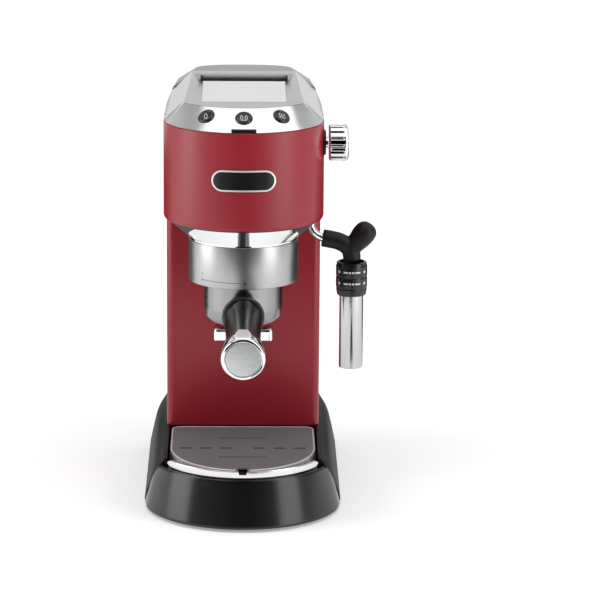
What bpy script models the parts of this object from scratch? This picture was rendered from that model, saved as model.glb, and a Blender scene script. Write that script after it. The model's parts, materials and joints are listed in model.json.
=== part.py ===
"""Slim espresso machine with a portafilter, a swivelling steam wand and a lift-off water tank.

The machine stands on z = 0 with its front towards -Y and its steam knob on the +X side. The origin is
the centre of the footprint. Sizes are in millimetres, and the helpers turn them into Blender's metres.
"""

import math

import bmesh
import bpy
from mathutils import Matrix, Vector

MM = 0.001
GAP = 0.3                                   # running gap between neighbouring pieces

# Overall body
BODY_HALF = 57.8                            # half width of the head at its widest
BODY_HALF_MID = 57.2                        # half width where the column's front face stands
BODY_HALF_BACK = 54.4                       # half width at the rear cover
HEAD_FRONT = -116.0
HEAD_CENTRE = -60.0                         # where the head's bowed front starts
HEAD_BOTTOM = 219.0
HEAD_TOP = 290.0
COLUMN_FRONT = 5.0
COVER_BACK = 62.0                           # rear face of the body, in front of the tank
SHEET = 1.6                                 # painted sheet thickness
TOP = 305.0
BADGE_Z = 256.0
UNDERSIDE_BACK = 2.0                         # rear edge of the plate under the head

# Base and drip tray
BASE_TOP = 43.5
BASE_BOTTOM = 2.2
PLATE_HALF = 31.0                            # the bottom plate passes between the feet
PLATE_FRONT = -94.0
PLATE_REAR = 98.0
PLATE_FACE = 1.9
BASE_CENTRE = -53.0                         # centre of the base's round front
BASE_FRONT_LOW = 74.5                       # radius of the round front at the table
BASE_FRONT_HIGH = 63.5                      # radius of the round front at the top
BASE_BACK = 122.0
SIDE_PROFILE = [(57.8, 43.5), (61.3, 37.8), (64.6, 32.8), (67.2, 26.8), (69.2, 19.0),
                (71.2, 10.0), (72.6, 3.6), (71.6, BASE_BOTTOM)]
PARTING_LOW = -52.0                         # where the tray's skirt meets the side arms, at z = 0
PARTING_SLOPE = 0.70                        # how far the parting plane leans forward per mm of height
BAY_HALF = 55.2
BAY_FLOOR = 9.0
TRAY_HALF = 54.6
TRAY_FRONT = -112.5
TRAY_BACK = 4.0
TRAY_RIM = 37.2
GRILLE_HALF = 53.4
GRILLE_FRONT = -113.6
SWITCH_X = 30.0
SWITCH_BACK = 121.0
FOOT_RADIUS = 7.0
FOOT_X = 40.0
FOOT_FRONT = -84.0
FOOT_REAR = 88.0
FOOT_HEIGHT = BASE_BOTTOM - GAP

# Brew group
GROUP_Y = -69.0
RING_RADIUS = 39.5
RING_BOTTOM = 175.5
RING_TOP = 206.0
RING_BORE = 36.8
LEDGE_BORE = 33.9
LEDGE_TOP = 180.6
LUG_ANGLE = 16.0
INSERT_TURN = -48.0                         # turn from locked to the insert position, about +Z
BOWL_RADIUS = 28.4
BOWL_BOTTOM = 143.0
FLANGE_TOP = 185.4
HANDLE_START = Vector((0.0, -97.0, 156.1))
HANDLE_END = Vector((0.0, -206.0, 149.4))
HANDLE_RADIUS = 15.2

# Top and control panel
RIDGE_HALF_FRONT = 42.8
RIDGE_HALF_BACK = 38.6
RIDGE_FRONT = -98.0
RIDGE_CORNER = -78.0
PANEL_HALF = 55.6
PANEL_SHEET = 1.8
ARC_STEPS = 16
BUTTON_RADIUS = 5.9
BUTTON_SPOTS = {"single_shot_button": 0.265, "double_shot_button": 0.5, "steam_button": 0.735}

# Steam side
KNOB_Y = -60.0
KNOB_Z = 273.5
KNOB_RADIUS = 13.4
KNOB_IN = 61.0
KNOB_OUT = 75.4
WAND_Y = -54.0
WAND_SWIVEL_X = 49.0
WAND_X = 78.8
PIPE_RADIUS = 3.0
SLEEVE_RADIUS = 8.7
SLEEVE_TOP = 181.0
SLEEVE_BOTTOM = 105.5

# Water tank
TANK_FRONT = 62.6
TANK_BOTTOM = 44.2
TANK_TOP = 291.6
TANK_CORNER = 95.0
TANK_CORNER_HALF = 51.4
TANK_BACK = 121.6
TANK_WALL = 2.2

COLOURS = {
    "red_paint": ((0.40, 0.012, 0.020), 0.35, 0.0),
    "black_plastic": ((0.020, 0.020, 0.022), 0.40, 0.0),
    "black_rubber": ((0.012, 0.012, 0.013), 0.75, 0.0),
    "chrome": ((0.80, 0.80, 0.81), 0.12, 1.0),
    "steel": ((0.60, 0.60, 0.60), 0.32, 1.0),
    "polished_steel": ((0.45, 0.46, 0.47), 0.10, 1.0),
    "satin_silver": ((0.62, 0.63, 0.64), 0.38, 0.6),
    "aluminium": ((0.55, 0.56, 0.57), 0.45, 1.0),
    "brass": ((0.62, 0.43, 0.16), 0.35, 1.0),
    "smoked_plastic": ((0.10, 0.11, 0.12), 0.15, 0.0),
    "red_plastic": ((0.55, 0.03, 0.03), 0.40, 0.0),
    "board_green": ((0.03, 0.18, 0.07), 0.55, 0.0),
    "grey_plastic": ((0.30, 0.31, 0.32), 0.45, 0.0),
}


# ---------------------------------------------------------------- scene and helpers

def clear_scene():
    """Remove every object the file starts with."""
    for obj in list(bpy.data.objects):
        bpy.data.objects.remove(obj, do_unlink=True)


def make_collection(name):
    """A new collection in the scene."""
    collection = bpy.data.collections.new(name)
    bpy.context.scene.collection.children.link(collection)
    return collection


def material(name):
    """The Principled material of this name, made once."""
    if name in bpy.data.materials:
        return bpy.data.materials[name]
    colour, roughness, metallic = COLOURS[name]
    mat = bpy.data.materials.new(name)
    mat.use_nodes = True
    shader = mat.node_tree.nodes["Principled BSDF"]
    shader.inputs["Base Color"].default_value = (*colour, 1.0)
    shader.inputs["Roughness"].default_value = roughness
    shader.inputs["Metallic"].default_value = metallic
    mat.diffuse_color = (*colour, 1.0)
    mat.metallic = metallic
    mat.roughness = roughness
    return mat


def from_bmesh(name, bm, smooth=35.0):
    """An unlinked object from a bmesh, smooth across edges flatter than the given angle."""
    bmesh.ops.recalc_face_normals(bm, faces=bm.faces)
    mesh = bpy.data.meshes.new(name)
    bm.to_mesh(mesh)
    bm.free()
    mesh.shade_smooth()
    mesh.set_sharp_from_angle(angle=math.radians(smooth))
    return bpy.data.objects.new(name, mesh)


def part(obj, look):
    """Keep an object as a piece of the machine, with its material."""
    obj.data.materials.clear()
    obj.data.materials.append(material(look))
    parts.objects.link(obj)
    return obj


def tool(obj):
    """Keep an object as a cutter or a joined shape that isn't a piece itself."""
    obj.hide_render = True
    obj.display_type = "WIRE"
    tools.objects.link(obj)
    return obj


def combine(obj, other, operation):
    """Cut, join or intersect with another shape, which becomes a tool."""
    if other.name not in tools.objects:
        tool(other)
    modifier = obj.modifiers.new(operation.title(), "BOOLEAN")
    modifier.operation = operation
    modifier.solver = "EXACT"
    modifier.object = other
    return obj


def cut(obj, *others):
    """Take other shapes away from an object."""
    for other in others:
        combine(obj, other, "DIFFERENCE")
    return obj


def join(obj, *others):
    """Add other shapes to an object."""
    for other in others:
        combine(obj, other, "UNION")
    return obj


def round_edges(obj, width, segments=2, angle=40.0):
    """Round the edges that are sharper than an angle."""
    modifier = obj.modifiers.new("Round", "BEVEL")
    modifier.width = width * MM
    modifier.segments = segments
    modifier.limit_method = "ANGLE"
    modifier.angle_limit = math.radians(angle)
    return obj


def block(name, low, high):
    """A box between two corners."""
    bm = bmesh.new()
    bmesh.ops.create_cube(bm, size=1.0)
    size = [(b - a) * MM for a, b in zip(low, high)]
    middle = [(a + b) / 2 * MM for a, b in zip(low, high)]
    bmesh.ops.scale(bm, vec=size, verts=bm.verts)
    bmesh.ops.translate(bm, vec=middle, verts=bm.verts)
    return from_bmesh(name, bm)


def rod(name, radius, start, end, end_radius=None, segments=32):
    """A round rod or cone between two points, with its origin at the first one."""
    start = Vector(start) * MM
    end = Vector(end) * MM
    length = (end - start).length
    second = radius if end_radius is None else end_radius
    bm = bmesh.new()
    bmesh.ops.create_cone(bm, cap_ends=True, segments=segments, radius1=radius * MM,
                          radius2=second * MM, depth=length)
    bmesh.ops.translate(bm, vec=(0, 0, length / 2), verts=bm.verts)
    obj = from_bmesh(name, bm)
    turn = (end - start).to_track_quat("Z", "Y").to_matrix().to_4x4()
    obj.matrix_world = Matrix.Translation(start) @ turn
    return obj


def turned(name, profile, place=(0, 0, 0), direction=(0, 0, 1), segments=36):
    """A turned shape: (radius, height) points, down the outer side, about a line through a place."""
    ring = profile[0][0] > 0
    count = len(profile)
    edges = [(i, (i + 1) % count) for i in range(count if ring else count - 1)]
    mesh = bpy.data.meshes.new(name)
    mesh.from_pydata([(r * MM, 0, z * MM) for r, z in profile], edges, [])
    obj = bpy.data.objects.new(name, mesh)
    modifier = obj.modifiers.new("Turn", "SCREW")
    modifier.steps = segments
    modifier.render_steps = segments
    modifier.use_merge_vertices = True
    modifier.merge_threshold = 0.00001
    modifier.use_smooth_shade = True
    turn = Vector(direction).to_track_quat("Z", "Y").to_matrix().to_4x4()
    obj.matrix_world = Matrix.Translation(Vector(place) * MM) @ turn
    return obj


def loft(name, rings):
    """A closed solid through rings of (x, y, z) points that all have the same count."""
    bm = bmesh.new()
    loops = [[bm.verts.new(Vector(point) * MM) for point in ring] for ring in rings]
    for lower, upper in zip(loops, loops[1:]):
        for i in range(len(lower)):
            j = (i + 1) % len(lower)
            bm.faces.new((lower[i], lower[j], upper[j], upper[i]))
    bmesh.ops.triangulate(bm, faces=bm.faces)        # a twisted side would spoil a Boolean
    bm.faces.new(reversed(loops[0]))
    bm.faces.new(loops[-1])
    return from_bmesh(name, bm)


def prism(name, outline, low, high):
    """An outline in the XY plane, extruded from one height to another."""
    return loft(name, [[(x, y, z) for x, y in outline] for z in (low, high)])


def wall(name, path, low, high, thickness):
    """A sheet that stands on an open path and is thickened towards the inside."""
    bm = bmesh.new()
    bottom = [bm.verts.new(Vector((x, y, low)) * MM) for x, y in path]
    top = [bm.verts.new(Vector((x, y, high)) * MM) for x, y in path]
    for i in range(len(path) - 1):
        bm.faces.new((bottom[i], bottom[i + 1], top[i + 1], top[i]))
    mesh = bpy.data.meshes.new(name)
    bm.to_mesh(mesh)
    bm.free()
    mesh.shade_smooth()
    obj = bpy.data.objects.new(name, mesh)
    return thicken(obj, thickness)


def thicken(obj, thickness, offset=-1.0):
    """Give an open surface a thickness, on its inner side unless the offset says otherwise."""
    modifier = obj.modifiers.new("Thickness", "SOLIDIFY")
    modifier.thickness = thickness * MM
    modifier.offset = offset
    modifier.use_even_offset = True
    return obj


def tube(name, points, radius, resolution=2, steps=3):
    """A smooth tube through points, as a closed mesh."""
    curve = bpy.data.curves.new(name + "_path", "CURVE")
    curve.dimensions = "3D"
    curve.bevel_depth = radius * MM
    curve.bevel_resolution = resolution
    curve.use_fill_caps = True
    curve.resolution_u = steps
    spline = curve.splines.new("BEZIER")
    spline.bezier_points.add(len(points) - 1)
    for knot, point in zip(spline.bezier_points, points):
        knot.co = Vector(point) * MM
        knot.handle_left_type = "AUTO"
        knot.handle_right_type = "AUTO"
    guide = bpy.data.objects.new(name + "_path", curve)
    tools.objects.link(guide)
    bpy.context.view_layer.update()
    mesh = bpy.data.meshes.new_from_object(guide.evaluated_get(bpy.context.evaluated_depsgraph_get()))
    bm = bmesh.new()
    bm.from_mesh(mesh)
    bmesh.ops.remove_doubles(bm, verts=bm.verts, dist=0.00001)
    bpy.data.objects.remove(guide, do_unlink=True)
    bpy.data.meshes.remove(mesh)
    return from_bmesh(name, bm, 50.0)


def arc(radius_x, radius_y, centre, start, end, steps):
    """Points along an elliptical arc, from one angle to another, in degrees."""
    points = []
    for i in range(steps + 1):
        angle = math.radians(start + (end - start) * i / steps)
        points.append((centre[0] + radius_x * math.cos(angle), centre[1] + radius_y * math.sin(angle)))
    return points


def bow_front(half, front, centre, steps=ARC_STEPS):
    """Half an ellipse that bows towards -Y, from the left side to the right side."""
    return arc(half, centre - front, (0.0, centre), 180.0, 360.0, steps)


def bowed_plan(half, front, centre, back, corner=4.0):
    """A closed plan with a bowed front and small round corners at its back."""
    right = arc(corner, corner, (half - corner, back - corner), 0.0, 90.0, 4)
    left = [(-x, y) for x, y in reversed(right)]
    return bow_front(half, front, centre) + right + left


def sector(inner, outer, middle, spread, steps=6):
    """A piece of a ring about the group's axis, as a closed outline."""
    centre = (0.0, GROUP_Y)
    outside = arc(outer, outer, centre, middle - spread, middle + spread, steps)
    inside = arc(inner, inner, centre, middle + spread, middle - spread, steps)
    return outside + inside


def side_half(y):
    """Half the body's width at a depth: it narrows a little towards the back."""
    if y <= COLUMN_FRONT:
        share = (y - HEAD_CENTRE) / (COLUMN_FRONT - HEAD_CENTRE)
        return BODY_HALF + (BODY_HALF_MID - BODY_HALF) * share
    share = (y - COLUMN_FRONT) / (COVER_BACK - COLUMN_FRONT)
    return BODY_HALF_MID + (BODY_HALF_BACK - BODY_HALF_MID) * share


def mirrored_path(right):
    """An open path from the left, through the front, to the right, from its right half."""
    return [(-x, y) for x, y in reversed(right)] + right


def handle_point(distance):
    """A point on the handle's axis at a distance from the bowl's side."""
    return HANDLE_START + (HANDLE_END - HANDLE_START).normalized() * distance


# ---------------------------------------------------------------- base

def base_plan(name):
    """The base's plan as a solid: a round front that leans back, and a round-cornered rear."""
    rings = []
    for z, radius in ((-1.0, BASE_FRONT_LOW), (50.0, BASE_FRONT_HIGH - 1.6)):
        front = arc(radius, radius, (0.0, BASE_CENTRE), 180.0, 360.0, 40)
        rear = arc(78.0, 30.0, (0.0, BASE_BACK - 30.0), 0.0, 180.0, 24)
        rings.append([(x, y, z) for x, y in front + rear])
    return loft(name, rings)


def base_solid(name):
    """The flared outer form that the base housing and the tray's skirt share."""
    section = SIDE_PROFILE + [(-x, z) for x, z in reversed(SIDE_PROFILE)]
    ends = [[(x, y, z) for x, z in section] for y in (140.0, -140.0)]
    body = loft(name, ends)
    return combine(body, base_plan(name + "_plan"), "INTERSECT")


def parting_block(name, forward, side):
    """Everything on one side of the slanted plane between the side arms and the tray's skirt."""
    far = 300.0 * side
    low = PARTING_LOW + forward
    high = low - PARTING_SLOPE * 60.0
    rings = [[(-90, low, 0), (90, low, 0), (90, low + far, 0), (-90, low + far, 0)],
             [(-90, high, 60), (90, high, 60), (90, high + far, 60), (-90, high + far, 60)]]
    return loft(name, rings)


def base_housing():
    """The black base: two side arms, a floor under the tray and a deck under the body."""
    base = base_solid("base_housing")
    cut(base, parting_block("arm_front_cut", 0.0, -1))
    cut(base, block("tray_bay_cut", (-BAY_HALF, -160, BAY_FLOOR), (BAY_HALF, TRAY_BACK + 0.8, 60)))
    floor_plan = bowed_plan(58.0, -112.0, BASE_CENTRE, 20.0)
    join(base, prism("tray_floor", floor_plan, 2.9, BAY_FLOOR))
    cut(base, block("deck_cut", (-50, TRAY_BACK + 8, 5.6), (50, BASE_BACK - 14, BASE_TOP - 3)))
    cut(base, block("deck_mouth_cut", (-28, TRAY_BACK + 10, -5), (28, BASE_BACK - 18, 10)))
    cut(base, prism("plate_recess", bottom_plan(0.4), -5, 4.0))
    cut(base, rod("inlet_cut", 7.3, (0, 150, 24), (0, 90, 24), segments=24))
    cut(base, block("switch_cut", (SWITCH_X - 7.3, 100, 13.7), (SWITCH_X + 7.3, 150, 34.3)))
    cut(base, rod("water_port_cut", 6.3, (0, 84, 38), (0, 84, 50), segments=24))
    return part(base, "black_plastic")


def bottom_plan(margin):
    """The bottom plate's outline between the feet, with a margin for its recess."""
    half = PLATE_HALF + margin
    front = arc(half, 10.0 + margin, (0.0, PLATE_FRONT), 180.0, 360.0, 12)
    rear = arc(half, 12.0 + margin, (0.0, PLATE_REAR), 0.0, 180.0, 12)
    return front + rear


def bottom_plate():
    """The cover that closes the base from below, between the feet."""
    return part(prism("bottom_plate", bottom_plan(0.0), PLATE_FACE, 3.6), "black_plastic")


def feet():
    """Four rubber feet."""
    for row, y in (("front", FOOT_FRONT), ("rear", FOOT_REAR)):
        for side, x in (("left", -FOOT_X), ("right", FOOT_X)):
            name = "foot_" + row + "_" + side
            part(rod(name, FOOT_RADIUS, (x, y, 0), (x, y, FOOT_HEIGHT), segments=24), "black_rubber")


def inlet_gland():
    """The strain-free opening at the rear where a power cord would enter."""
    profile = [(9.0, 3.2), (9.0, 0.3), (7.0, 0.3), (7.0, -12.0), (4.2, -12.0), (4.2, 3.2)]
    gland = turned("inlet_gland", profile, (0, BASE_BACK, 24), (0, 1, 0), 24)
    return part(gland, "black_rubber")


def power_switch():
    """The rocker switch at the rear and its bezel."""
    bezel = block("switch_bezel", (SWITCH_X - 7, 109, 14), (SWITCH_X + 7, SWITCH_BACK, 34))
    cut(bezel, block("rocker_cut", (SWITCH_X - 5, 112, 16), (SWITCH_X + 5, 130, 32)))
    part(bezel, "black_plastic")
    outline = [(-5.0, -5.0), (5.0, -5.0), (7.4, -0.5), (0.0, 1.0), (-7.4, 2.6)]
    rings = [[(x, y, z) for z, y in outline] for x in (-4.6, 4.6)]
    rocker = loft("power_switch", rings)
    rocker.location = Vector((SWITCH_X, SWITCH_BACK - 0.6, 24.0)) * MM
    return part(rocker, "grey_plastic")


# ---------------------------------------------------------------- drip tray

def drip_tray():
    """The pull-out tray: a basin, and the round front skirt that it carries."""
    skirt = base_solid("drip_tray")
    cut(skirt, parting_block("skirt_back_cut", -GAP - 0.1, 1))
    cut(skirt, block("skirt_top_cut", (-90, -160, TRAY_RIM), (90, 20, 60)))
    void = []
    for z, radius in ((-5.0, BASE_FRONT_LOW - 2.2), (34.6, BASE_FRONT_HIGH - 0.4)):
        front = arc(radius, radius, (0.0, BASE_CENTRE), 180.0, 360.0, 40)
        void.append([(x, y, z) for x, y in front + [(radius, 20), (-radius, 20)]])
    cut(skirt, loft("skirt_void", void))
    basin = bowed_plan(TRAY_HALF, TRAY_FRONT, BASE_CENTRE, TRAY_BACK)
    join(skirt, prism("basin", basin, BAY_FLOOR + 0.4, TRAY_RIM))
    inside = bowed_plan(TRAY_HALF - 2.0, TRAY_FRONT + 2.0, BASE_CENTRE, TRAY_BACK - 2.0)
    cut(skirt, prism("basin_cut", inside, BAY_FLOOR + 2.4, 60))
    return part(skirt, "black_plastic")


def tray_trim():
    """The bright band along the tray's front edge."""
    radius = BASE_FRONT_HIGH - 0.1
    path = arc(radius, radius, (0.0, BASE_CENTRE), 270 - 60, 270 + 60, 30)
    trim = wall("tray_trim", path, TRAY_RIM + GAP, BASE_TOP - 0.2, 2.4)
    cut(trim, block("trim_notch", (-3.4, -130, BASE_TOP - 2.8), (3.4, -100, 50)))
    return part(trim, "chrome")


def cup_grille():
    """The polished plate that cups stand on, with drain slots and a notch for the float."""
    grille = prism("cup_grille", bowed_plan(GRILLE_HALF, GRILLE_FRONT, BASE_CENTRE, 3.4, 7.0),
                   TRAY_RIM + GAP, BASE_TOP)
    round_edges(grille, 0.5, 1, 60)
    inside = bowed_plan(GRILLE_HALF - 1.8, GRILLE_FRONT + 1.8, BASE_CENTRE, 1.6, 5.0)
    cut(grille, prism("grille_void", inside, 30, BASE_TOP - 1.6))
    for i, x in enumerate((-42.0, -27.0, -12.0, 12.0, 27.0, 42.0)):
        cut(grille, block("drain_slot_%d" % i, (x - 4.8, -57.0, 35), (x + 4.8, -53.0, 50)))
    cut(grille, block("front_slot", (-18.0, -79.5, 35), (18.0, -77.5, 50)))
    cut(grille, block("rear_slot", (-18.0, -29.5, 35), (18.0, -27.5, 50)))
    cut(grille, block("float_notch", (-3.4, -120, 35), (3.4, -106.4, 50)))
    return part(grille, "polished_steel")


def tray_float():
    """The float that rises through the notch when the tray is full."""
    stem = block("tray_float", (-2.6, -110.1, BAY_FLOOR + 12.0), (2.6, -107.0, BASE_TOP - 3.0))
    join(stem, block("float_body", (-12, -107.8, BAY_FLOOR + 3.2), (12, -95, BAY_FLOOR + 14.0)))
    return part(stem, "red_plastic")


# ---------------------------------------------------------------- body

def column_shell():
    """The painted column: a flat front and two sides."""
    corner = arc(5.0, 5.0, (BODY_HALF_MID - 5.0, COLUMN_FRONT + 5.0), 270.0, 358.0, 5)
    right = corner + [(BODY_HALF_BACK, COVER_BACK - 3.0)]
    column = wall("column_shell", mirrored_path(right), BASE_TOP + GAP, HEAD_BOTTOM - GAP, SHEET)
    return part(column, "red_paint")


def head_path(back):
    """The head's side and bowed front as an open path."""
    bow = bow_front(BODY_HALF, HEAD_FRONT, HEAD_CENTRE, 32)
    right = bow[16:] + [(side_half(COLUMN_FRONT), COLUMN_FRONT), (side_half(back), back)]
    return [(-x, y) for x, y in reversed(right[1:])] + right


def head_shell():
    """The painted head, bowed at the front and open at the back."""
    head = wall("head_shell", head_path(COVER_BACK - 3.0), HEAD_BOTTOM, HEAD_TOP, SHEET)
    round_edges(head, 0.6, 1, 60)
    cut(head, rod("spindle_cut", 5.4, (40, KNOB_Y, KNOB_Z), (80, KNOB_Y, KNOB_Z), segments=24))
    return part(head, "red_paint")


def head_underside():
    """The plate that closes the head from below around the brew group."""
    outline = bowed_plan(BODY_HALF - 2.4, HEAD_FRONT + 2.2, HEAD_CENTRE, UNDERSIDE_BACK, 2.0)
    plate = prism("head_underside", outline, HEAD_BOTTOM + 0.4, HEAD_BOTTOM + 3.4)
    group = rod("group_cut", 34.2, (0, GROUP_Y, 200), (0, GROUP_Y, 240), segments=48)
    swivel = rod("swivel_cut", 5.6, (WAND_SWIVEL_X, WAND_Y, 200), (WAND_SWIVEL_X, WAND_Y, 240))
    cut(plate, group, swivel)
    return part(plate, "black_plastic")


def rear_cover():
    """The panel between the body and the water tank."""
    half = BODY_HALF_BACK - 0.6
    low = (-half, COVER_BACK - 2.6, BASE_TOP + GAP)
    cover = block("rear_cover", low, (half, COVER_BACK, HEAD_TOP - 0.4))
    return part(cover, "black_plastic")


def pill(name, half, rise):
    """A pill-shaped cutter that points through the head's front."""
    left = arc(rise, rise, (-(half - rise), BADGE_Z), 90.0, 270.0, 10)
    outline = left + [(-x, 2 * BADGE_Z - z) for x, z in left]
    return loft(name, [[(x, y, z) for x, z in outline] for y in (-90.0, -130.0)])


def badge():
    """A blank pill-shaped badge and its bright rim on the head's front."""
    for name, look, half, rise, depth in (("badge_rim", "chrome", 22.8, 7.6, 1.0),
                                          ("badge_face", "black_plastic", 21.4, 6.2, 0.8)):
        reach = GAP + depth
        depth_reach = HEAD_CENTRE - HEAD_FRONT + reach
        path = arc(BODY_HALF + reach, depth_reach, (0.0, HEAD_CENTRE), 235.0, 305.0, 24)
        plate = wall(name, path, BADGE_Z - 10.0, BADGE_Z + 10.0, depth)
        combine(plate, pill(name + "_outline", half, rise), "INTERSECT")
        if name == "badge_rim":
            cut(plate, pill("badge_hole", 21.7, 6.5))
        part(plate, look)


# ---------------------------------------------------------------- top

def panel_rails(inset):
    """The lower and upper edges of the sloping control panel, set in by a distance."""
    half = PANEL_HALF - inset
    reach = math.sqrt(1.0 - (PANEL_HALF / BODY_HALF) ** 2)
    start = math.degrees(math.atan2(reach, PANEL_HALF / BODY_HALF))
    scale = half / PANEL_HALF
    lower = arc(BODY_HALF * scale, HEAD_CENTRE - HEAD_FRONT - inset, (0.0, HEAD_CENTRE),
                180.0 + start, 360.0 - start, ARC_STEPS)
    bow = RIDGE_CORNER - RIDGE_FRONT
    radius = (RIDGE_HALF_FRONT ** 2 + bow ** 2) / (2 * bow)
    spread = math.degrees(math.asin(RIDGE_HALF_FRONT / radius))
    radius_in = radius - inset
    upper = arc(radius_in, radius_in, (0.0, RIDGE_FRONT + radius), 270.0 - spread, 270.0 + spread,
                ARC_STEPS)
    return lower, upper


def rail_point(rail, place, z):
    """The point at a fractional index along one edge of the panel."""
    index = min(int(place), len(rail) - 2)
    share = place - index
    (x0, y0), (x1, y1) = rail[index:index + 2]
    return Vector((x0 + (x1 - x0) * share, y0 + (y1 - y0) * share, z))


def panel_spot(across):
    """A point on the panel's face and its outward normal, at a share of its width."""
    lower, upper = panel_rails(0.0)
    place = across * ARC_STEPS
    bottom = rail_point(lower, place, HEAD_TOP)
    top = rail_point(upper, place, TOP)
    along = rail_point(lower, place + 0.5, HEAD_TOP) - rail_point(lower, place - 0.5, HEAD_TOP)
    normal = along.cross(top - bottom).normalized()
    return bottom.lerp(top, 0.60), normal


def panel_sheet(name, grow, thickness, offset):
    """The panel's sloping surface with a thickness, grown past its edges by a distance."""
    lower, upper = panel_rails(0.0)
    rails = []
    for rail, z in ((lower, HEAD_TOP + 0.2), (upper, TOP)):
        points = [Vector((x, y, z)) for x, y in rail]
        first = points[0] + (points[0] - points[1]).normalized() * grow
        last = points[-1] + (points[-1] - points[-2]).normalized() * grow
        rails.append([first] + points[1:-1] + [last])
    bm = bmesh.new()
    rows = []
    reach = grow / 20.0
    for share in (-reach, 0.5, 1.0 + reach):
        rows.append([bm.verts.new(low.lerp(high, share) * MM) for low, high in zip(*rails)])
    for bottom, top in zip(rows, rows[1:]):
        for i in range(len(bottom) - 1):
            bm.faces.new((bottom[i], bottom[i + 1], top[i + 1], top[i]))
    bmesh.ops.triangulate(bm, faces=bm.faces)
    mesh = bpy.data.meshes.new(name)
    bm.to_mesh(mesh)
    bm.free()
    mesh.shade_smooth()
    return thicken(bpy.data.objects.new(name, mesh), thickness, offset)


def control_panel():
    """The sloping bright panel that carries the buttons."""
    panel = panel_sheet("control_panel", 0.0, PANEL_SHEET, -1.0)
    for name, across in BUTTON_SPOTS.items():
        point, normal = panel_spot(across)
        cut(panel, rod(name + "_hole", BUTTON_RADIUS + 0.35, point - normal * 8, point + normal * 8))
    cut(panel, block("panel_foot_cut", (-70, -130, HEAD_TOP - 12), (70, -50, HEAD_TOP + GAP)))
    cut(panel, block("panel_notch", (-8.8, -125, HEAD_TOP - 5), (8.8, -100, HEAD_TOP + 2.6)))
    return part(panel, "chrome")


def buttons():
    """Three round buttons that travel square to the panel."""
    for name, across in BUTTON_SPOTS.items():
        point, normal = panel_spot(across)
        profile = [(0.0, 1.7), (3.0, 1.5), (5.0, 0.8), (BUTTON_RADIUS, -0.2),
                   (BUTTON_RADIUS, -6.0), (0.0, -6.0)]
        part(turned(name, profile, point, normal, 28), "black_plastic")


def panel_insert():
    """The small black window under the panel's lower edge."""
    insert = block("panel_insert", (-8.4, -115.0, HEAD_TOP + GAP), (8.4, -113.1, HEAD_TOP + 2.3))
    return part(insert, "black_plastic")


def hood_ring(z, front, side_front, side_back, back):
    """One closed ring of the hood: a bowed front edge and two straight sides."""
    right = [(side_front, front[-1][1] + 12.0), (side_back, back)]
    left = [(-x, y) for x, y in reversed(right)]
    return [(x, y, z) for x, y in front + right + left]


def top_hood():
    """The bright top frame: sloping sides around a recess for the cup warmer."""
    lower, upper = panel_rails(0.1)
    low_ring = hood_ring(HEAD_TOP + GAP, lower, BODY_HALF - 0.3, BODY_HALF_BACK, COVER_BACK)
    high_ring = hood_ring(TOP, upper, RIDGE_HALF_FRONT - 0.3, RIDGE_HALF_BACK, COVER_BACK)
    hood = loft("top_hood", [low_ring, high_ring])
    cut(hood, panel_sheet("panel_pocket", GAP, 2 * (PANEL_SHEET + GAP), 0.0))
    lower_in, upper_in = panel_rails(7.0)
    room = [hood_ring(HEAD_TOP - 6, lower_in, 51.0, 48.0, COVER_BACK - 3.0),
            hood_ring(TOP - 7.0, upper_in, 44.0, 41.0, COVER_BACK - 3.0)]
    cut(hood, loft("hood_room", room))
    recess = [[(-30.8, -66.0, 300.6), (30.8, -66.0, 300.6), (30.8, 34.6, 300.6), (-30.8, 34.6, 300.6)],
              [(-40.2, -72.0, 305.2), (40.2, -72.0, 305.2), (37.0, 48.0, 305.2), (-37.0, 48.0, 305.2)]]
    cut(hood, loft("warmer_recess", recess))
    cut(hood, block("vent_cut", (-32.6, 35.8, 296), (32.6, 45.6, 310)))
    for name, across in BUTTON_SPOTS.items():
        point, normal = panel_spot(across)
        cut(hood, rod(name + "_well", BUTTON_RADIUS + 0.7, point - normal * 12, point + normal * 4))
    return part(hood, "chrome")


def cup_warmer_plate():
    """The ribbed plate on top, with its ribs running from side to side."""
    ribs = 9
    pitch = (34.2 + 65.6) / ribs
    section = [(34.2, 300.9)]
    for i in range(ribs):
        y = 34.2 - pitch * i
        section += [(y, 301.5), (y - 0.25 * pitch, 302.6), (y - 0.65 * pitch, 302.6)]
    section += [(-65.6, 301.5), (-65.6, 300.9)]
    rings = [[(x, y, z) for y, z in section] for x in (-30.4, 30.4)]
    return part(loft("cup_warmer_plate", rings), "steel")


# ---------------------------------------------------------------- brew group and portafilter

def outline_reach(angle, inset):
    """How far the head's inner outline is from the group's axis, in one direction."""
    across, along = math.cos(angle), math.sin(angle)
    low, high = 30.0, 90.0
    for _ in range(30):
        reach = (low + high) / 2
        x, y = abs(across * reach), GROUP_Y + along * reach
        if y < HEAD_CENTRE:
            depth = HEAD_CENTRE - HEAD_FRONT - inset
            share = (x / (BODY_HALF - inset)) ** 2 + ((y - HEAD_CENTRE) / depth) ** 2
            inside = share < 1.0
        else:
            inside = x < side_half(y) - inset and y < UNDERSIDE_BACK - inset + 2.4
        low, high = (reach, high) if inside else (low, reach)
    return low


def flare_ring(z, share, radius, inset, steps=64):
    """A ring between a circle about the group's axis and the head's inner outline."""
    ring = []
    for i in range(steps):
        angle = 2 * math.pi * i / steps
        reach = radius + (outline_reach(angle, inset) - radius) * share
        ring.append((reach * math.cos(angle), GROUP_Y + reach * math.sin(angle), z))
    return ring


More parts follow.
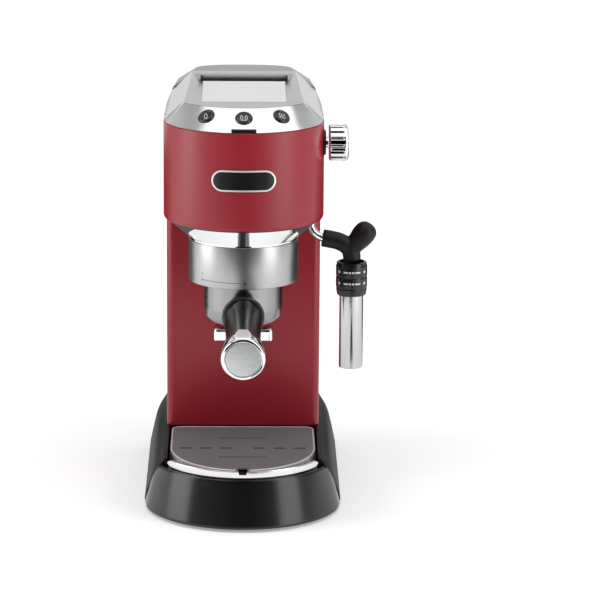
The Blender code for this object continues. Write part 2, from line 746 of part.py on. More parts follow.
def group_funnel():
    """The bright flare that leads from the head's outline down to the group ring."""
    top = HEAD_BOTTOM - 0.1
    low = RING_TOP + GAP
    funnel = loft("group_funnel", [flare_ring(low, 0.0, 36.6, 2.7), flare_ring(top, 1.0, 36.6, 2.7)])
    cut(funnel, loft("funnel_void", [flare_ring(low - 1.3, 0.0, 34.9, 2.7),
                                     flare_ring(low + 1.4, 0.0, 34.9, 2.7),
                                     flare_ring(top + 1.4, 1.0, 34.9, 2.7)]))
    cut(funnel, rod("swivel_gap", 7.6, (WAND_SWIVEL_X, WAND_Y, 200), (WAND_SWIVEL_X, WAND_Y, 230)))
    return part(funnel, "chrome")


def group_ring():
    """The steel locking ring: a ledge with two gaps that the portafilter's lugs pass."""
    profile = [(RING_RADIUS - 0.6, RING_TOP), (RING_RADIUS, RING_TOP - 0.6),
               (RING_RADIUS, RING_BOTTOM + 0.8), (RING_RADIUS - 0.8, RING_BOTTOM),
               (LEDGE_BORE, RING_BOTTOM), (LEDGE_BORE, LEDGE_TOP),
               (RING_BORE, LEDGE_TOP), (RING_BORE, RING_TOP)]
    ring = turned("group_ring", profile, (0, GROUP_Y, 0), segments=48)
    for side, turn in (("right", 0.0), ("left", 180.0)):
        gap = sector(LEDGE_BORE - 2.0, RING_BORE - 0.1, turn + INSERT_TURN, LUG_ANGLE + 2.0)
        cut(ring, prism("lug_gap_" + side, gap, 170, LEDGE_TOP + 0.4))
    return part(ring, "steel")


def brew_head():
    """The cast group body inside the ring, and its boss up into the head."""
    profile = [(0.0, 227.0), (20.0, 227.0), (20.0, 219.0), (33.4, 219.0),
               (33.4, 205.0), (36.4, 204.0), (36.4, 191.4), (0.0, 191.4)]
    return part(turned("brew_head", profile, (0, GROUP_Y, 0), segments=32), "aluminium")


def group_seal():
    """The rubber ring that the basket's rim presses against."""
    profile = [(33.8, 191.0), (33.8, 187.6), (27.2, 187.6), (27.2, 191.0)]
    return part(turned("group_seal", profile, (0, GROUP_Y, 0), segments=32), "black_rubber")


def shower_screen():
    """The domed screen under the brew head, with its screw."""
    profile = [(0.0, 191.0), (26.0, 191.0), (26.0, 189.6), (22.0, 188.4),
               (5.0, 187.8), (5.0, 186.4), (0.0, 186.0)]
    return part(turned("shower_screen", profile, (0, GROUP_Y, 0), segments=32), "steel")


def filter_holder():
    """The portafilter's bowl: a flange with two lugs, and the neck that takes the handle."""
    profile = [(0.0, 147.0), (19.0, 147.0), (24.6, 149.6), (26.5, 155.0), (26.5, 180.0),
               (26.9, FLANGE_TOP), (33.2, FLANGE_TOP), (33.2, 181.2), (29.6, 177.6),
               (BOWL_RADIUS, 175.0), (BOWL_RADIUS, 153.0), (27.0, 147.8), (23.4, 144.2), (19.0, BOWL_BOTTOM), (0.0, BOWL_BOTTOM)]
    bowl = turned("filter_holder", profile, (0, GROUP_Y, 0), segments=40)
    for side, turn in (("right", 0.0), ("left", 180.0)):
        outline = sector(31.0, 36.3, turn, LUG_ANGLE)
        join(bowl, prism("lug_" + side, outline, LEDGE_TOP + 0.5, FLANGE_TOP - 0.6))
    join(bowl, rod("handle_neck", 8.5, handle_point(-2.4), handle_point(7.0), segments=24))
    cut(bowl, rod("bowl_inside", 26.6, (0, GROUP_Y, 153), (0, GROUP_Y, 183), segments=40))
    drain = rod("bowl_drain", 4.0, (0, GROUP_Y, 130), (0, GROUP_Y, 150), segments=16)
    cut(bowl, drain)
    return part(bowl, "steel")


def filter_basket():
    """The steel basket that holds the ground coffee."""
    profile = [(0.0, 161.0), (23.8, 161.0), (25.3, 163.0), (25.3, 187.0), (31.8, 187.0), (31.8, 185.8),
               (26.0, 185.8), (26.0, 162.6), (24.4, 160.2), (0.0, 160.2)]
    return part(turned("filter_basket", profile, (0, GROUP_Y, 0), segments=32), "steel")


def twin_spout():
    """The two-way spout under the bowl."""
    bar = block("twin_spout", (-21.3, GROUP_Y - 7.0, 129.0), (21.3, GROUP_Y + 7.0, 139.4))
    round_edges(bar, 2.6, 3, 60)
    join(bar, rod("spout_neck", 8.0, (0, GROUP_Y, 136), (0, GROUP_Y, BOWL_BOTTOM - GAP), segments=24))
    for side, x in (("left", -14.0), ("right", 14.0)):
        cut(bar, rod("outlet_" + side, 4.4, (x, GROUP_Y, 120), (x, GROUP_Y, 136), segments=20))
    return part(bar, "chrome")


def handle():
    """The portafilter's handle: a root collar, a tapered grip, an end cap and its disc."""
    axis = (HANDLE_END - HANDLE_START).normalized()
    collar = turned("handle_collar", [(0.0, 6.0), (14.6, 6.0), (HANDLE_RADIUS, 5.0), (HANDLE_RADIUS, 1.0),
                                      (13.8, 0.0), (0.0, 0.0)], handle_point(7.3), axis, 28)
    part(collar, "black_plastic")
    grip_length = 82.0
    radii = (14.2, 13.4, 12.4, 12.0, 12.3, 13.2, 14.4)
    side = [(radius, grip_length * i / (len(radii) - 1)) for i, radius in enumerate(radii)]
    profile = [(0.0, grip_length)] + list(reversed(side)) + [(0.0, 0.0)]
    part(turned("handle_grip", profile, handle_point(13.6), axis, 28), "black_plastic")
    cap_start = 13.6 + grip_length + GAP
    cap_length = (HANDLE_END - HANDLE_START).length - cap_start
    cap_radius = HANDLE_RADIUS + 0.2
    cap_profile = [(0.0, cap_length - 1.2), (12.5, cap_length - 1.2), (12.7, cap_length),
                   (14.4, cap_length - 0.5), (cap_radius, cap_length - 2.2), (cap_radius, 1.0),
                   (14.6, 0.0), (0.0, 0.0)]
    cap = turned("handle_cap", cap_profile, handle_point(cap_start), axis, 32)
    part(cap, "chrome")
    disc_start = cap_start + cap_length - 0.9
    disc = rod("cap_disc", 12.2, handle_point(disc_start), handle_point(disc_start + 0.8), segments=32)
    part(disc, "satin_silver")


# ---------------------------------------------------------------- steam side

def steam_knob():
    """The ribbed steam knob and the spindle that it turns."""
    length = KNOB_OUT - KNOB_IN
    rim = KNOB_RADIUS - 0.2
    profile = [(0.0, length), (10.8, length), (12.6, length - 0.9), (rim, length - 2.4), (rim, 1.4),
               (12.0, 0.0), (0.0, 0.0)]
    knob = turned("steam_knob", profile, (KNOB_IN, KNOB_Y, KNOB_Z), (1, 0, 0), 32)
    ribs = 16
    for i in range(ribs):
        angle = 2 * math.pi * i / ribs
        y = KNOB_Y + (KNOB_RADIUS + 0.9) * math.cos(angle)
        z = KNOB_Z + (KNOB_RADIUS + 0.9) * math.sin(angle)
        name = "knob_groove_%02d" % i
        groove = rod(name, 1.6, (KNOB_IN - 1, y, z), (KNOB_OUT - 3.2, y, z), segments=8)
        cut(knob, groove)
    part(knob, "chrome")
    spindle_end = (KNOB_IN - GAP, KNOB_Y, KNOB_Z)
    spindle = rod("knob_spindle", 5.0, (52.0, KNOB_Y, KNOB_Z), spindle_end, segments=24)
    return part(spindle, "chrome")


def wand_path():
    """The steam pipe's centre line, from the swivel to the sleeve."""
    return [(WAND_SWIVEL_X, WAND_Y, 214.0), (WAND_SWIVEL_X + 0.6, WAND_Y, 209.0),
            (WAND_SWIVEL_X + 4.6, WAND_Y, 204.0),
            (60.0, WAND_Y, 201.4), (70.0, WAND_Y, 199.4), (76.6, WAND_Y, 195.2), (WAND_X, WAND_Y, 188.4),
            (WAND_X, WAND_Y, 182.0)]


def wand_socket():
    """The ball socket under the head that the wand swivels in."""
    profile = [(7.2, 218.8), (7.2, 217.0), (6.8, 214.6), (5.5, 214.6), (5.5, 218.8)]
    return part(turned("wand_socket", profile, (WAND_SWIVEL_X, WAND_Y, 0), segments=28), "black_plastic")


def steam_pipe():
    """The bent steam pipe with the ball at its upper end."""
    pipe = tube("steam_pipe", wand_path(), PIPE_RADIUS)
    profile = [(0.0, 219.8), (3.4, 219.2), (5.2, 217.2), (5.2, 215.2), (3.6, 212.6), (0.0, 212.0)]
    ball = turned("pipe_ball", profile, (WAND_SWIVEL_X, WAND_Y, 0), segments=20)
    join(pipe, ball)
    return part(pipe, "steel")


def wand_grip():
    """The rubber grip around the pipe's bend, with its thumb paddle."""
    route = [(57.4, WAND_Y, 201.9), (64.0, WAND_Y, 200.7), (70.2, WAND_Y, 199.0),
             (76.6, WAND_Y, 194.6), (WAND_X, WAND_Y, 188.6), (WAND_X, WAND_Y, 185.6)]
    grip = tube("wand_grip", route, 6.4, 3, 3)
    profile = [(0.0, 20.6), (4.4, 19.6), (7.4, 16.6), (8.6, 12.4), (8.2, 7.0), (6.6, 1.0),
               (5.4, -6.0), (0.0, -7.0)]
    paddle = turned("thumb_paddle", profile, (80.4, WAND_Y, 196.2), (0.62, 0.0, 0.78), 24)
    join(grip, paddle)
    cut(grip, tube("grip_bore", wand_path(), PIPE_RADIUS + 0.35))
    return part(grip, "black_rubber")


def wand_sleeve():
    """The steel frothing sleeve that hangs from the pipe."""
    profile = [(7.2, SLEEVE_TOP), (SLEEVE_RADIUS, SLEEVE_TOP - 1.4),
               (SLEEVE_RADIUS, SLEEVE_BOTTOM), (7.7, SLEEVE_BOTTOM),
               (7.7, SLEEVE_TOP - 4.0), (3.4, SLEEVE_TOP - 4.0), (3.4, SLEEVE_TOP)]
    sleeve = turned("wand_sleeve", profile, (WAND_X, WAND_Y, 0), segments=36)
    return part(sleeve, "steel")


def wand_nozzle():
    """The steam nozzle inside the sleeve, its tip just below the sleeve's end."""
    profile = [(0.0, 181.6), (2.9, 181.6), (2.9, 112.0), (4.0, 111.0), (4.0, 106.0),
               (2.2, 103.4), (0.0, 103.4)]
    return part(turned("wand_nozzle", profile, (WAND_X, WAND_Y, 0), segments=20), "black_plastic")


def selector_ring():
    """The ring that slides on the sleeve to choose hot milk or froth."""
    profile = [(9.8, 184.6), (11.4, 182.8), (11.4, 165.4), (10.4, 160.6), (9.1, 160.0), (9.1, 184.6)]
    return part(turned("selector_ring", profile, (WAND_X, WAND_Y, 0), segments=36), "black_plastic")


# ---------------------------------------------------------------- inside the body

def internals():
    """The working parts that the shells hide."""
    part(rod("pump", 17.0, (0, 32, 72), (0, 32, 140), segments=28), "grey_plastic")
    for name, radius, low, high in (("pump_mount_lower", 12.0, BASE_TOP + GAP, 71.6),
                                    ("pump_mount_upper", 9.0, 140.4, 156.0)):
        part(rod(name, radius, (0, 32, low), (0, 32, high), segments=20), "black_rubber")
    heater = block("thermoblock", (-36, -58, 227.6), (36, 36, 256.0))
    part(round_edges(heater, 3.0, 1, 60), "aluminium")
    route = [(0, 32, 156.5), (0, 30, 176), (3, 24, 196), (4, 20, 212), (4, 18, 227)]
    part(tube("pressure_hose", route, 2.6, 1), "grey_plastic")
    valve = rod("steam_valve", 9.0, (22, KNOB_Y, KNOB_Z), (51.4, KNOB_Y, KNOB_Z), segments=24)
    part(valve, "brass")
    feed = [(30, KNOB_Y, KNOB_Z - 9.8), (30, KNOB_Y, 261.6), (39, KNOB_Y + 2, 258.6),
            (46, WAND_Y - 2, 250), (WAND_SWIVEL_X, WAND_Y, 236), (WAND_SWIVEL_X, WAND_Y, 224)]
    part(tube("steam_feed_tube", feed, 2.2, 1), "steel")
    board = block("control_board", (-40, -96, 281.0), (18, -50, 282.6))
    return part(board, "board_green")


# ---------------------------------------------------------------- water tank

def tank_plan(inset):
    """The tank's plan: a flat front, sides that narrow a little, and a rounded back."""
    squareness = 2.6
    back = []
    steps = 20
    for i in range(steps + 1):
        angle = math.pi * i / steps
        c, s = math.cos(angle), math.sin(angle)
        x = math.copysign(abs(c) ** (2 / squareness), c) * (TANK_CORNER_HALF - inset)
        y = TANK_CORNER + abs(s) ** (2 / squareness) * (TANK_BACK - TANK_CORNER - inset)
        back.append((x, y))
    half = BODY_HALF_BACK - 0.2 - inset
    front = TANK_FRONT + inset
    return [(-half, front), (half, front)] + back


def water_tank():
    """The lift-off tank behind the body."""
    tank = prism("water_tank", tank_plan(0.0), TANK_BOTTOM, TANK_TOP)
    cut(tank, prism("tank_void", tank_plan(TANK_WALL), TANK_BOTTOM + 3.0, TANK_TOP + 10))
    cut(tank, rod("tank_outlet", 5.2, (0, 84, 30), (0, 84, 60), segments=24))
    return part(tank, "smoked_plastic")


def tank_valve():
    """The spring valve in the tank's floor."""
    seat = TANK_BOTTOM + 3.4
    profile = [(0.0, 56.0), (7.6, 56.0), (7.6, seat), (4.8, seat), (4.8, 39.4), (0.0, 39.4)]
    return part(turned("tank_valve", profile, (0, 84, 0), segments=24), "grey_plastic")


def tank_lid():
    """The hinged lid, which carries the top frame's sloping sides on to the back."""
    low = [(x, y, TANK_TOP + 0.4) for x, y in tank_plan(0.0)]
    squareness = 2.4
    high = []
    for i, (x, y, _) in enumerate(low):
        if i < 2:
            high.append((math.copysign(RIDGE_HALF_BACK - 0.4, x), TANK_FRONT, 304.4))
            continue
        angle = math.pi * (i - 2) / (len(low) - 3)
        c, s = math.cos(angle), math.sin(angle)
        across = math.copysign(abs(c) ** (2 / squareness), c) * 36.6
        depth = 90.0 + abs(s) ** (2 / squareness) * 27.0
        high.append((across, depth, 304.4 - 3.6 * (depth - TANK_FRONT) / (117.0 - TANK_FRONT)))
    lid = loft("tank_lid", [low, high])
    cut(lid, prism("lid_void", tank_plan(14.0), TANK_TOP - 5, 298.0))
    return part(lid, "satin_silver")


# ---------------------------------------------------------------- build

clear_scene()
parts = make_collection("espresso_machine")
tools = make_collection("cutters")

base_housing()
bottom_plate()
feet()
inlet_gland()
power_switch()
drip_tray()
tray_trim()
cup_grille()
tray_float()
column_shell()
head_shell()
head_underside()
rear_cover()
badge()
control_panel()
buttons()
panel_insert()
top_hood()
cup_warmer_plate()
group_funnel()
group_ring()
brew_head()
group_seal()
shower_screen()
filter_holder()
filter_basket()
twin_spout()
handle()
steam_knob()
wand_socket()
steam_pipe()
wand_grip()
wand_sleeve()
wand_nozzle()
selector_ring()
internals()
water_tank()
tank_valve()
tank_lid()
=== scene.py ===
# %% [markdown]
# # A slim espresso machine, finished over its frame
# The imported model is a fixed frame: it says where every piece is and how it moves. This lesson
# puts the visible surfaces over that frame: finer meshes, worked finishes, a camera and soft
# light. Each step first says what the piece is, then how it is made.

# %% Load the frame
import json
import math

import bmesh
import bpy
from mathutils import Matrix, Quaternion, Vector


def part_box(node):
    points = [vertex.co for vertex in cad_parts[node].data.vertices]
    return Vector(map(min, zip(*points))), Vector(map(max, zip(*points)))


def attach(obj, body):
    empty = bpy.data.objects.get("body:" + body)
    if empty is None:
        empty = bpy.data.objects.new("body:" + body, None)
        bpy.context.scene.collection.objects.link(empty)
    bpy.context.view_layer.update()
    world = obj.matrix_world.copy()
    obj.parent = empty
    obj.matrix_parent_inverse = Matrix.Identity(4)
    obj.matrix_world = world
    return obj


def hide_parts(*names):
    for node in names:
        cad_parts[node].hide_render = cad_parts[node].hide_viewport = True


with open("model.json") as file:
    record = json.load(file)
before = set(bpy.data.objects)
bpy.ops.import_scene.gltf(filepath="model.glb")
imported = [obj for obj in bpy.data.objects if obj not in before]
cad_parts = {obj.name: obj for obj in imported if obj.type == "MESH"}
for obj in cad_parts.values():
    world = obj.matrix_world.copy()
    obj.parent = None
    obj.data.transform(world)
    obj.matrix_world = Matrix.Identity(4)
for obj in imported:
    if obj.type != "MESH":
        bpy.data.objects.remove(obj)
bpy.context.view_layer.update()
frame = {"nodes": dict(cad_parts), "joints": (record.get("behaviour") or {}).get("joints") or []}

MM = 0.001
scene = bpy.context.scene

# %% [markdown]
# ## Sizes
# Every size below starts from the room that a node takes, so the finish can't drift away from
# the frame. A `Room` holds the six limits of one node in millimetres. For a turned node the mean
# of its points lies on its axis, which is a handy way to find a tilted axis.


# %% Rooms and axes
class Room:
    """The space that a node takes, in millimetres."""

    def __init__(self, node):
        low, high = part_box(node)
        self.left, self.front, self.bottom = [c / MM for c in low]
        self.right, self.back, self.top = [c / MM for c in high]
        self.x = (self.left + self.right) / 2
        self.y = (self.front + self.back) / 2
        self.z = (self.bottom + self.top) / 2


def points_of(node):
    """A node's points in millimetres, each counted once."""
    rounded = {tuple(round(c / MM, 3) for c in v.co) for v in frame["nodes"][node].data.vertices}
    return [Vector(p) for p in sorted(rounded)]


def mean_of(node):
    """The mean of a node's points, which for a turned node lies on its axis."""
    points = points_of(node)
    return sum(points, Vector()) / len(points)


def reach_along(node, start, axis):
    """How far a node starts and ends along an axis from a point."""
    shares = [(p - start).dot(axis) for p in points_of(node)]
    return min(shares), max(shares)


head, column = Room("head_shell"), Room("column_shell")
ring, bowl, funnel = Room("group_ring"), Room("filter_holder"), Room("group_funnel")
sleeve, knob = Room("wand_sleeve"), Room("steam_knob")
print("head %.1f mm wide, group axis at y %.1f mm" % (head.right - head.left, ring.y))

# %% [markdown]
# ## Shader sums
# A finish is easier to read as a sum than as a web of nodes. `Wire` wraps one output socket and
# overloads the operators that the finishes use, so `0.3 + 0.1 * grain` adds its Math nodes.
# Every other node comes from `Tree.node`, which sets the node's own settings before its sockets.


# %% Wires and trees
class Wire:
    """One output of a node, which sums can be written with."""

    def __init__(self, tree, socket):
        self.tree, self.socket = tree, socket

    def sum(self, operation, first, second):
        return self.tree.node("ShaderNodeMath", {"operation": operation}, {0: first, 1: second})

    def __add__(self, other):
        return self.sum("ADD", self, other)

    def __sub__(self, other):
        return self.sum("SUBTRACT", self, other)

    def __rsub__(self, other):
        return self.sum("SUBTRACT", other, self)

    def __mul__(self, other):
        return self.sum("MULTIPLY", self, other)

    __radd__ = __add__
    __rmul__ = __mul__


class Tree:
    """A node tree that hands out wires."""

    def __init__(self, tree):
        self.tree = tree

    def node(self, kind, settings, sockets, out=0):
        made = self.tree.nodes.new(kind)
        for key, value in settings.items():
            if key == "stops":
                stops = made.color_ramp.elements
                while len(stops) < len(value):
                    stops.new(1.0)
                for stop, (place, level) in zip(stops, value):
                    stop.position = place
                    stop.color = (level, level, level, 1)
            else:
                setattr(made, key, value)
        for key, value in sockets.items():
            if isinstance(value, Wire):
                self.tree.links.new(value.socket, made.inputs[key])
            else:
                made.inputs[key].default_value = value
        return Wire(self, made.outputs[out])

    def place(self, stretch=(1, 1, 1)):
        """Where a point is on the object, stretched along the axes."""
        spot = self.node("ShaderNodeTexCoord", {}, {}, "Object")
        return self.node("ShaderNodeVectorMath", {"operation": "MULTIPLY"}, {0: spot, 1: stretch})

    def grain(self, size, detail=2.0, stretch=(1, 1, 1)):
        """Noise from 0 to 1 with specks of a size in millimetres."""
        return self.node("ShaderNodeTexNoise", {}, {"Vector": self.place(stretch),
                         "Scale": 1 / (size * MM), "Detail": detail, "Roughness": 0.55})

    def ramp(self, wire, *stops):
        """A value passed through a ramp of (place, level) stops."""
        return self.node("ShaderNodeValToRGB", {"stops": stops}, {"Fac": wire})

    def mix(self, share, first, second):
        """Two colours mixed by a share."""
        colours = [(*c, 1) if isinstance(c, tuple) else c for c in (first, second)]
        return self.node("ShaderNodeMix", {"data_type": "RGBA"},
                         {0: share, 6: colours[0], 7: colours[1]}, 2)


class Look(Tree):
    """A material whose surface shader is fed by wires."""

    def __init__(self, name, **constants):
        self.material = bpy.data.materials.new(name)
        self.material.use_nodes = True
        super().__init__(self.material.node_tree)
        self.shader = self.tree.nodes["Principled BSDF"]
        for key, value in constants.items():
            self.shader.inputs[key.replace("_", " ")].default_value = value

    def feed(self, **wires):
        for key, wire in wires.items():
            self.tree.links.new(wire.socket, self.shader.inputs[key.replace("_", " ")])
        return self

    def bumped(self, height, depth):
        """Lean the surface by a height, whose full range is a depth in millimetres."""
        return self.feed(Normal=self.node("ShaderNodeBump", {}, {
            "Strength": 1.0, "Distance": depth * MM, "Height": height}))


print("classes:", Wire.__name__, Tree.__name__, Look.__name__)


# %% [markdown]
# ## Finishes
# Three families cover nearly the whole machine. Moulded or painted surfaces have a broad drift
# of tone, a fine grain and a faint orange peel. Brushed metal has long scratches that run one
# way: the noise is squeezed across the scratches and drawn out along them. Plated and polished
# metal is smooth, with a trace of haze, a few wipe marks and a barely wavy surface.


# %% Families of finish
def moulded(name, colour, roughness, peel=0.02, speck=0.5, drift=0.12, **constants):
    """Plastic, rubber or paint: broad drift of tone, fine grain and a slight peel."""
    look = Look(name, **constants)
    broad, fine = look.grain(45.0, 3.0), look.grain(speck, 2.0)
    darker = tuple(c * (1 - drift) for c in colour)
    lighter = tuple(min(1.0, c * (1 + drift)) for c in colour)
    tone = look.ramp(0.6 * broad + 0.4 * fine, (0.35, 0.0), (0.65, 1.0))
    look.feed(Base_Color=look.mix(tone, darker, lighter),
              Roughness=roughness - 0.04 + 0.05 * broad + 0.03 * fine)
    return look.bumped(fine, peel)


def brushed(name, colour, roughness, along=(1, 1, 1), depth=0.004, **constants):
    """Metal with fine scratches that run where `along` is small."""
    look = Look(name, **{"Metallic": 1.0, **constants})
    scratch = look.grain(1.0, 4.0, along)
    haze = look.grain(30.0, 2.0)
    shade = look.ramp(scratch, (0.3, 0.0), (0.7, 1.0))
    darker = tuple(c * 0.86 for c in colour)
    look.feed(Base_Color=look.mix(shade, darker, colour),
              Roughness=roughness - 0.05 + 0.10 * scratch + 0.04 * haze)
    return look.bumped(scratch, depth)


def plated(name, colour, roughness, wave=0.003, **constants):
    """Smooth metal: a trace of haze and a barely wavy surface."""
    look = Look(name, Metallic=1.0, **constants)
    haze, wave_map = look.grain(24.0, 4.0), look.grain(9.0, 1.0)
    wiped = look.ramp(look.grain(2.4, 3.0, (0.15, 1, 1)), (0.55, 0.0), (0.8, 1.0))
    darker = tuple(c * 0.95 for c in colour)
    look.feed(Base_Color=look.mix(haze, darker, colour),
              Roughness=roughness + 0.03 * haze + 0.02 * wiped)
    return look.bumped(wave_map, wave)


# %% The finishes of this machine
around = (0.04, 0.04, 6.0)          # scratches that run round an upright axis
across = (0.04, 5.0, 5.0)           # scratches that run from side to side
red_paint = moulded("satin_red_paint", (0.275, 0.0082, 0.0155), 0.35, 0.006, 0.30, 0.05,
                    Specular_IOR_Level=0.46)
base_black = moulded("satin_black_base", (0.0025, 0.0025, 0.0030), 0.22, 0.004, 0.35, 0.2,
                     Specular_IOR_Level=0.60)
side_black = moulded("satin_black_sides", (0.0060, 0.0060, 0.0065), 0.50, 0.006, 0.4, 0.2,
                     Specular_IOR_Level=0.22)
panel_black = moulded("gloss_black_plastic", (0.010, 0.010, 0.011), 0.20, 0.003, 0.5, 0.2)
grip_black = moulded("grip_black_plastic", (0.006, 0.006, 0.006), 0.24, 0.005, 0.4, 0.2)
inner_black = moulded("dull_black_plastic", (0.012, 0.012, 0.012), 0.55, 0.02, 0.8, 0.2)
rubber = moulded("soft_black_rubber", (0.006, 0.006, 0.0065), 0.44, 0.012, 0.6, 0.2,
                 Specular_IOR_Level=0.28)
chrome = plated("bright_chrome", (0.83, 0.83, 0.84), 0.07)
hood_chrome = plated("satin_chrome", (0.76, 0.76, 0.77), 0.17)
frame_chrome = plated("frame_chrome", (0.53, 0.535, 0.545), 0.19)
ring_steel = brushed("turned_steel", (0.44, 0.44, 0.445), 0.30, around)
bowl_steel = brushed("bowl_steel", (0.31, 0.31, 0.315), 0.24, around)
sleeve_steel = brushed("drawn_steel", (0.55, 0.55, 0.555), 0.15, (5.0, 5.0, 0.05), 0.002)
warmer_steel = brushed("warmer_steel", (0.93, 0.93, 0.93), 0.34, across, 0.003, Metallic=0.5)
plate_steel = moulded("cup_plate_steel", (0.165, 0.170, 0.176), 0.46, 0.001, 0.6, 0.04,
                      Specular_IOR_Level=0.22)
silver = plated("satin_silver", (0.33, 0.335, 0.345), 0.30, 0.002)
rim_silver = moulded("bright_rim", (0.82, 0.80, 0.79), 0.30, 0.002, 0.5, 0.03, Metallic=0.45)
disc_silver = brushed("cap_silver", (0.74, 0.75, 0.76), 0.38, (0.3, 5.0, 0.3), 0.001)
cast_metal = moulded("cast_alloy", (0.55, 0.56, 0.57), 0.42, 0.05, 0.9, 0.08, Metallic=1.0)
brass = brushed("turned_brass", (0.62, 0.43, 0.16), 0.28, (6.0, 0.05, 0.05))
grey_plastic = moulded("grey_plastic", (0.28, 0.29, 0.30), 0.48, 0.02)
# The float's dark red, close to black, is painted shade: it stands in for the shade in the notch below
# the plate where the float sits.
float_painted_shade = moulded("float_plastic_painted_shade", (0.030, 0.006, 0.006), 0.45, 0.01)
board_green = moulded("board_green", (0.03, 0.18, 0.07), 0.40, 0.01)
pale_print = moulded("pale_print", (0.62, 0.63, 0.64), 0.45, 0.002)
dark_print = moulded("dark_print", (0.03, 0.03, 0.03), 0.50, 0.002)
smoked = moulded("smoked_tank_plastic", (0.035, 0.037, 0.040), 0.16, 0.003, 1.2, 0.15)
print("finishes:", len(bpy.data.materials))

# %% [markdown]
# ## Mesh tools
# Almost every surface here is a grid: rows of points joined into faces. A turned piece is a row
# per profile point, and a rail is a row per step along its path. `eased` rounds the corners of
# a profile first, because a real edge always catches a thin line of light. A few pieces need
# holes, so `carved` runs a Boolean and a bevel on a scratch object and keeps only the mesh.


# %% Grids, profiles and outlines
def corners(bm, row):
    """New corners in a mesh, at points in millimetres."""
    return [bm.verts.new(Vector(p) * MM) for p in row]


def skin(bm, made, round_rows=True):
    """Faces between each row of corners and the next; round rows close on themselves."""
    count = len(made[0])
    for near, far in zip(made, made[1:]):
        for i in range(count if round_rows else count - 1):
            j = (i + 1) % count
            bm.faces.new((near[i], near[j], far[j], far[i]))


def grid_mesh(rows, round_rows=True, closed=False, sharp=32.0):
    """A mesh over rows of points in millimetres; round rows close on themselves."""
    bm = bmesh.new()
    made = [corners(bm, row) for row in rows]
    skin(bm, made + made[:1] if closed else made, round_rows)
    if round_rows and not closed:
        bm.faces.new(reversed(made[0]))
        bm.faces.new(made[-1])
    return tidy_mesh(bm, sharp)


def tidy_mesh(bm, sharp=32.0):
    """Merge what meets, face everything outwards and shade it smooth between sharp edges."""
    bmesh.ops.remove_doubles(bm, verts=bm.verts, dist=1e-6)
    bmesh.ops.dissolve_degenerate(bm, edges=bm.edges, dist=1e-7)
    bmesh.ops.recalc_face_normals(bm, faces=bm.faces)
    mesh = bpy.data.meshes.new("mesh")
    bm.to_mesh(mesh)
    bm.free()
    mesh.shade_smooth()
    mesh.set_sharp_from_angle(angle=math.radians(sharp))
    return mesh


def eased(points, reach, steps=4, closed=True):
    """A profile with each corner replaced by a small curve."""
    points = [Vector(p) for p in points]
    smooth = []
    count = len(points)
    for i, corner in enumerate(points):
        if not closed and i in (0, count - 1):
            smooth.append(corner)
            continue
        before, after = points[i - 1] - corner, points[(i + 1) % count] - corner
        start = corner + before * min(0.48, reach / max(before.length, 1e-6))
        end = corner + after * min(0.48, reach / max(after.length, 1e-6))
        for k in range(steps + 1):
            t = k / steps
            smooth.append((1 - t) ** 2 * start + 2 * t * (1 - t) * corner + t * t * end)
    return [tuple(p) for p in smooth]


def arc(rx, ry, centre, start, end, steps):
    """Points along an elliptical arc, from one angle to another, in degrees."""
    angles = [math.radians(start + (end - start) * i / steps) for i in range(steps + 1)]
    return [(centre[0] + rx * math.cos(a), centre[1] + ry * math.sin(a)) for a in angles]


def pill(half, radius, centre, steps):
    """A closed pill: two half circles, each half a length from the centre."""
    x, y = centre
    return (arc(radius, radius, (x + half, y), -90, 90, steps)
            + arc(radius, radius, (x - half, y), 90, 270, steps))


def bowed_plan(half, front, centre, back, corner=4.0, steps=96):
    """A closed plan with a bowed front and small round corners at its back."""
    right = arc(corner, corner, (half - corner, back - corner), 0.0, 90.0, 10)
    bow = arc(half, centre - front, (0.0, centre), 180.0, 360.0, steps)
    return bow + right + [(-x, y) for x, y in reversed(right)]


print("points in an eased square:", len(eased([(0, 0, 0), (1, 0, 0), (1, 1, 0), (0, 1, 0)], 0.2)))


# %% Lathe, slab and rail
def lathe_mesh(profile, ease, place, direction=(0, 0, 1), steps=96, flute=None, sharp=32.0,
               rounds=3):
    """Turn a (radius, height) profile about an axis, with its corners eased by a reach.

    A profile that starts on the axis is solid and keeps its two ends there. `flute` scales the
    radius by angle and height.
    """
    turn = Vector(direction).to_track_quat("Z", "Y")
    solid = abs(profile[0][0]) < 1e-6
    if ease:
        soft = eased([(r, z, 0) for r, z in profile], ease, rounds, not solid)
        profile = [(p[0], p[1]) for p in soft]
    rows = []
    for radius, height in profile:
        row = []
        for i in range(steps):
            a = 2 * math.pi * i / steps
            r = radius * (flute(a, height) if flute else 1.0)
            row.append(Vector(place) + turn @ Vector((r * math.cos(a), r * math.sin(a), height)))
        rows.append(row)
    if solid:
        bm = bmesh.new()
        mid = [corners(bm, row) for row in rows[1:-1]]
        skin(bm, mid)
        for row, tip in ((mid[0], rows[0][0]), (mid[-1], rows[-1][0])):
            hub = bm.verts.new(tip * MM)
            for i in range(steps):
                bm.faces.new((row[i], row[(i + 1) % steps], hub))
        return tidy_mesh(bm, sharp)
    return grid_mesh(rows, True, True, sharp)


def inset(outline, distance):
    """A closed outline moved inwards along its own normals."""
    moved = []
    count = len(outline)
    for i, (x, y) in enumerate(outline):
        (ax, ay), (bx, by) = outline[i - 1], outline[(i + 1) % count]
        side = Vector((by - ay, ax - bx))
        side = side.normalized() if side.length > 1e-9 else Vector((0, 0))
        moved.append((x - side.x * distance, y - side.y * distance))
    return moved


def slab_mesh(outline, low, high, ease=0.4, steps=3):
    """An outline between two heights, with its upper and lower edges eased."""
    rows = []
    for height, sign in ((low, 1), (high, -1)):
        rounds = range(steps + 1) if sign > 0 else range(steps, -1, -1)
        for k in rounds:
            a = math.pi / 2 * k / steps
            ring_now = inset(outline, ease * (1 - math.sin(a)))
            rows.append([(x, y, height + sign * ease * (1 - math.cos(a))) for x, y in ring_now])
    return grid_mesh(rows)


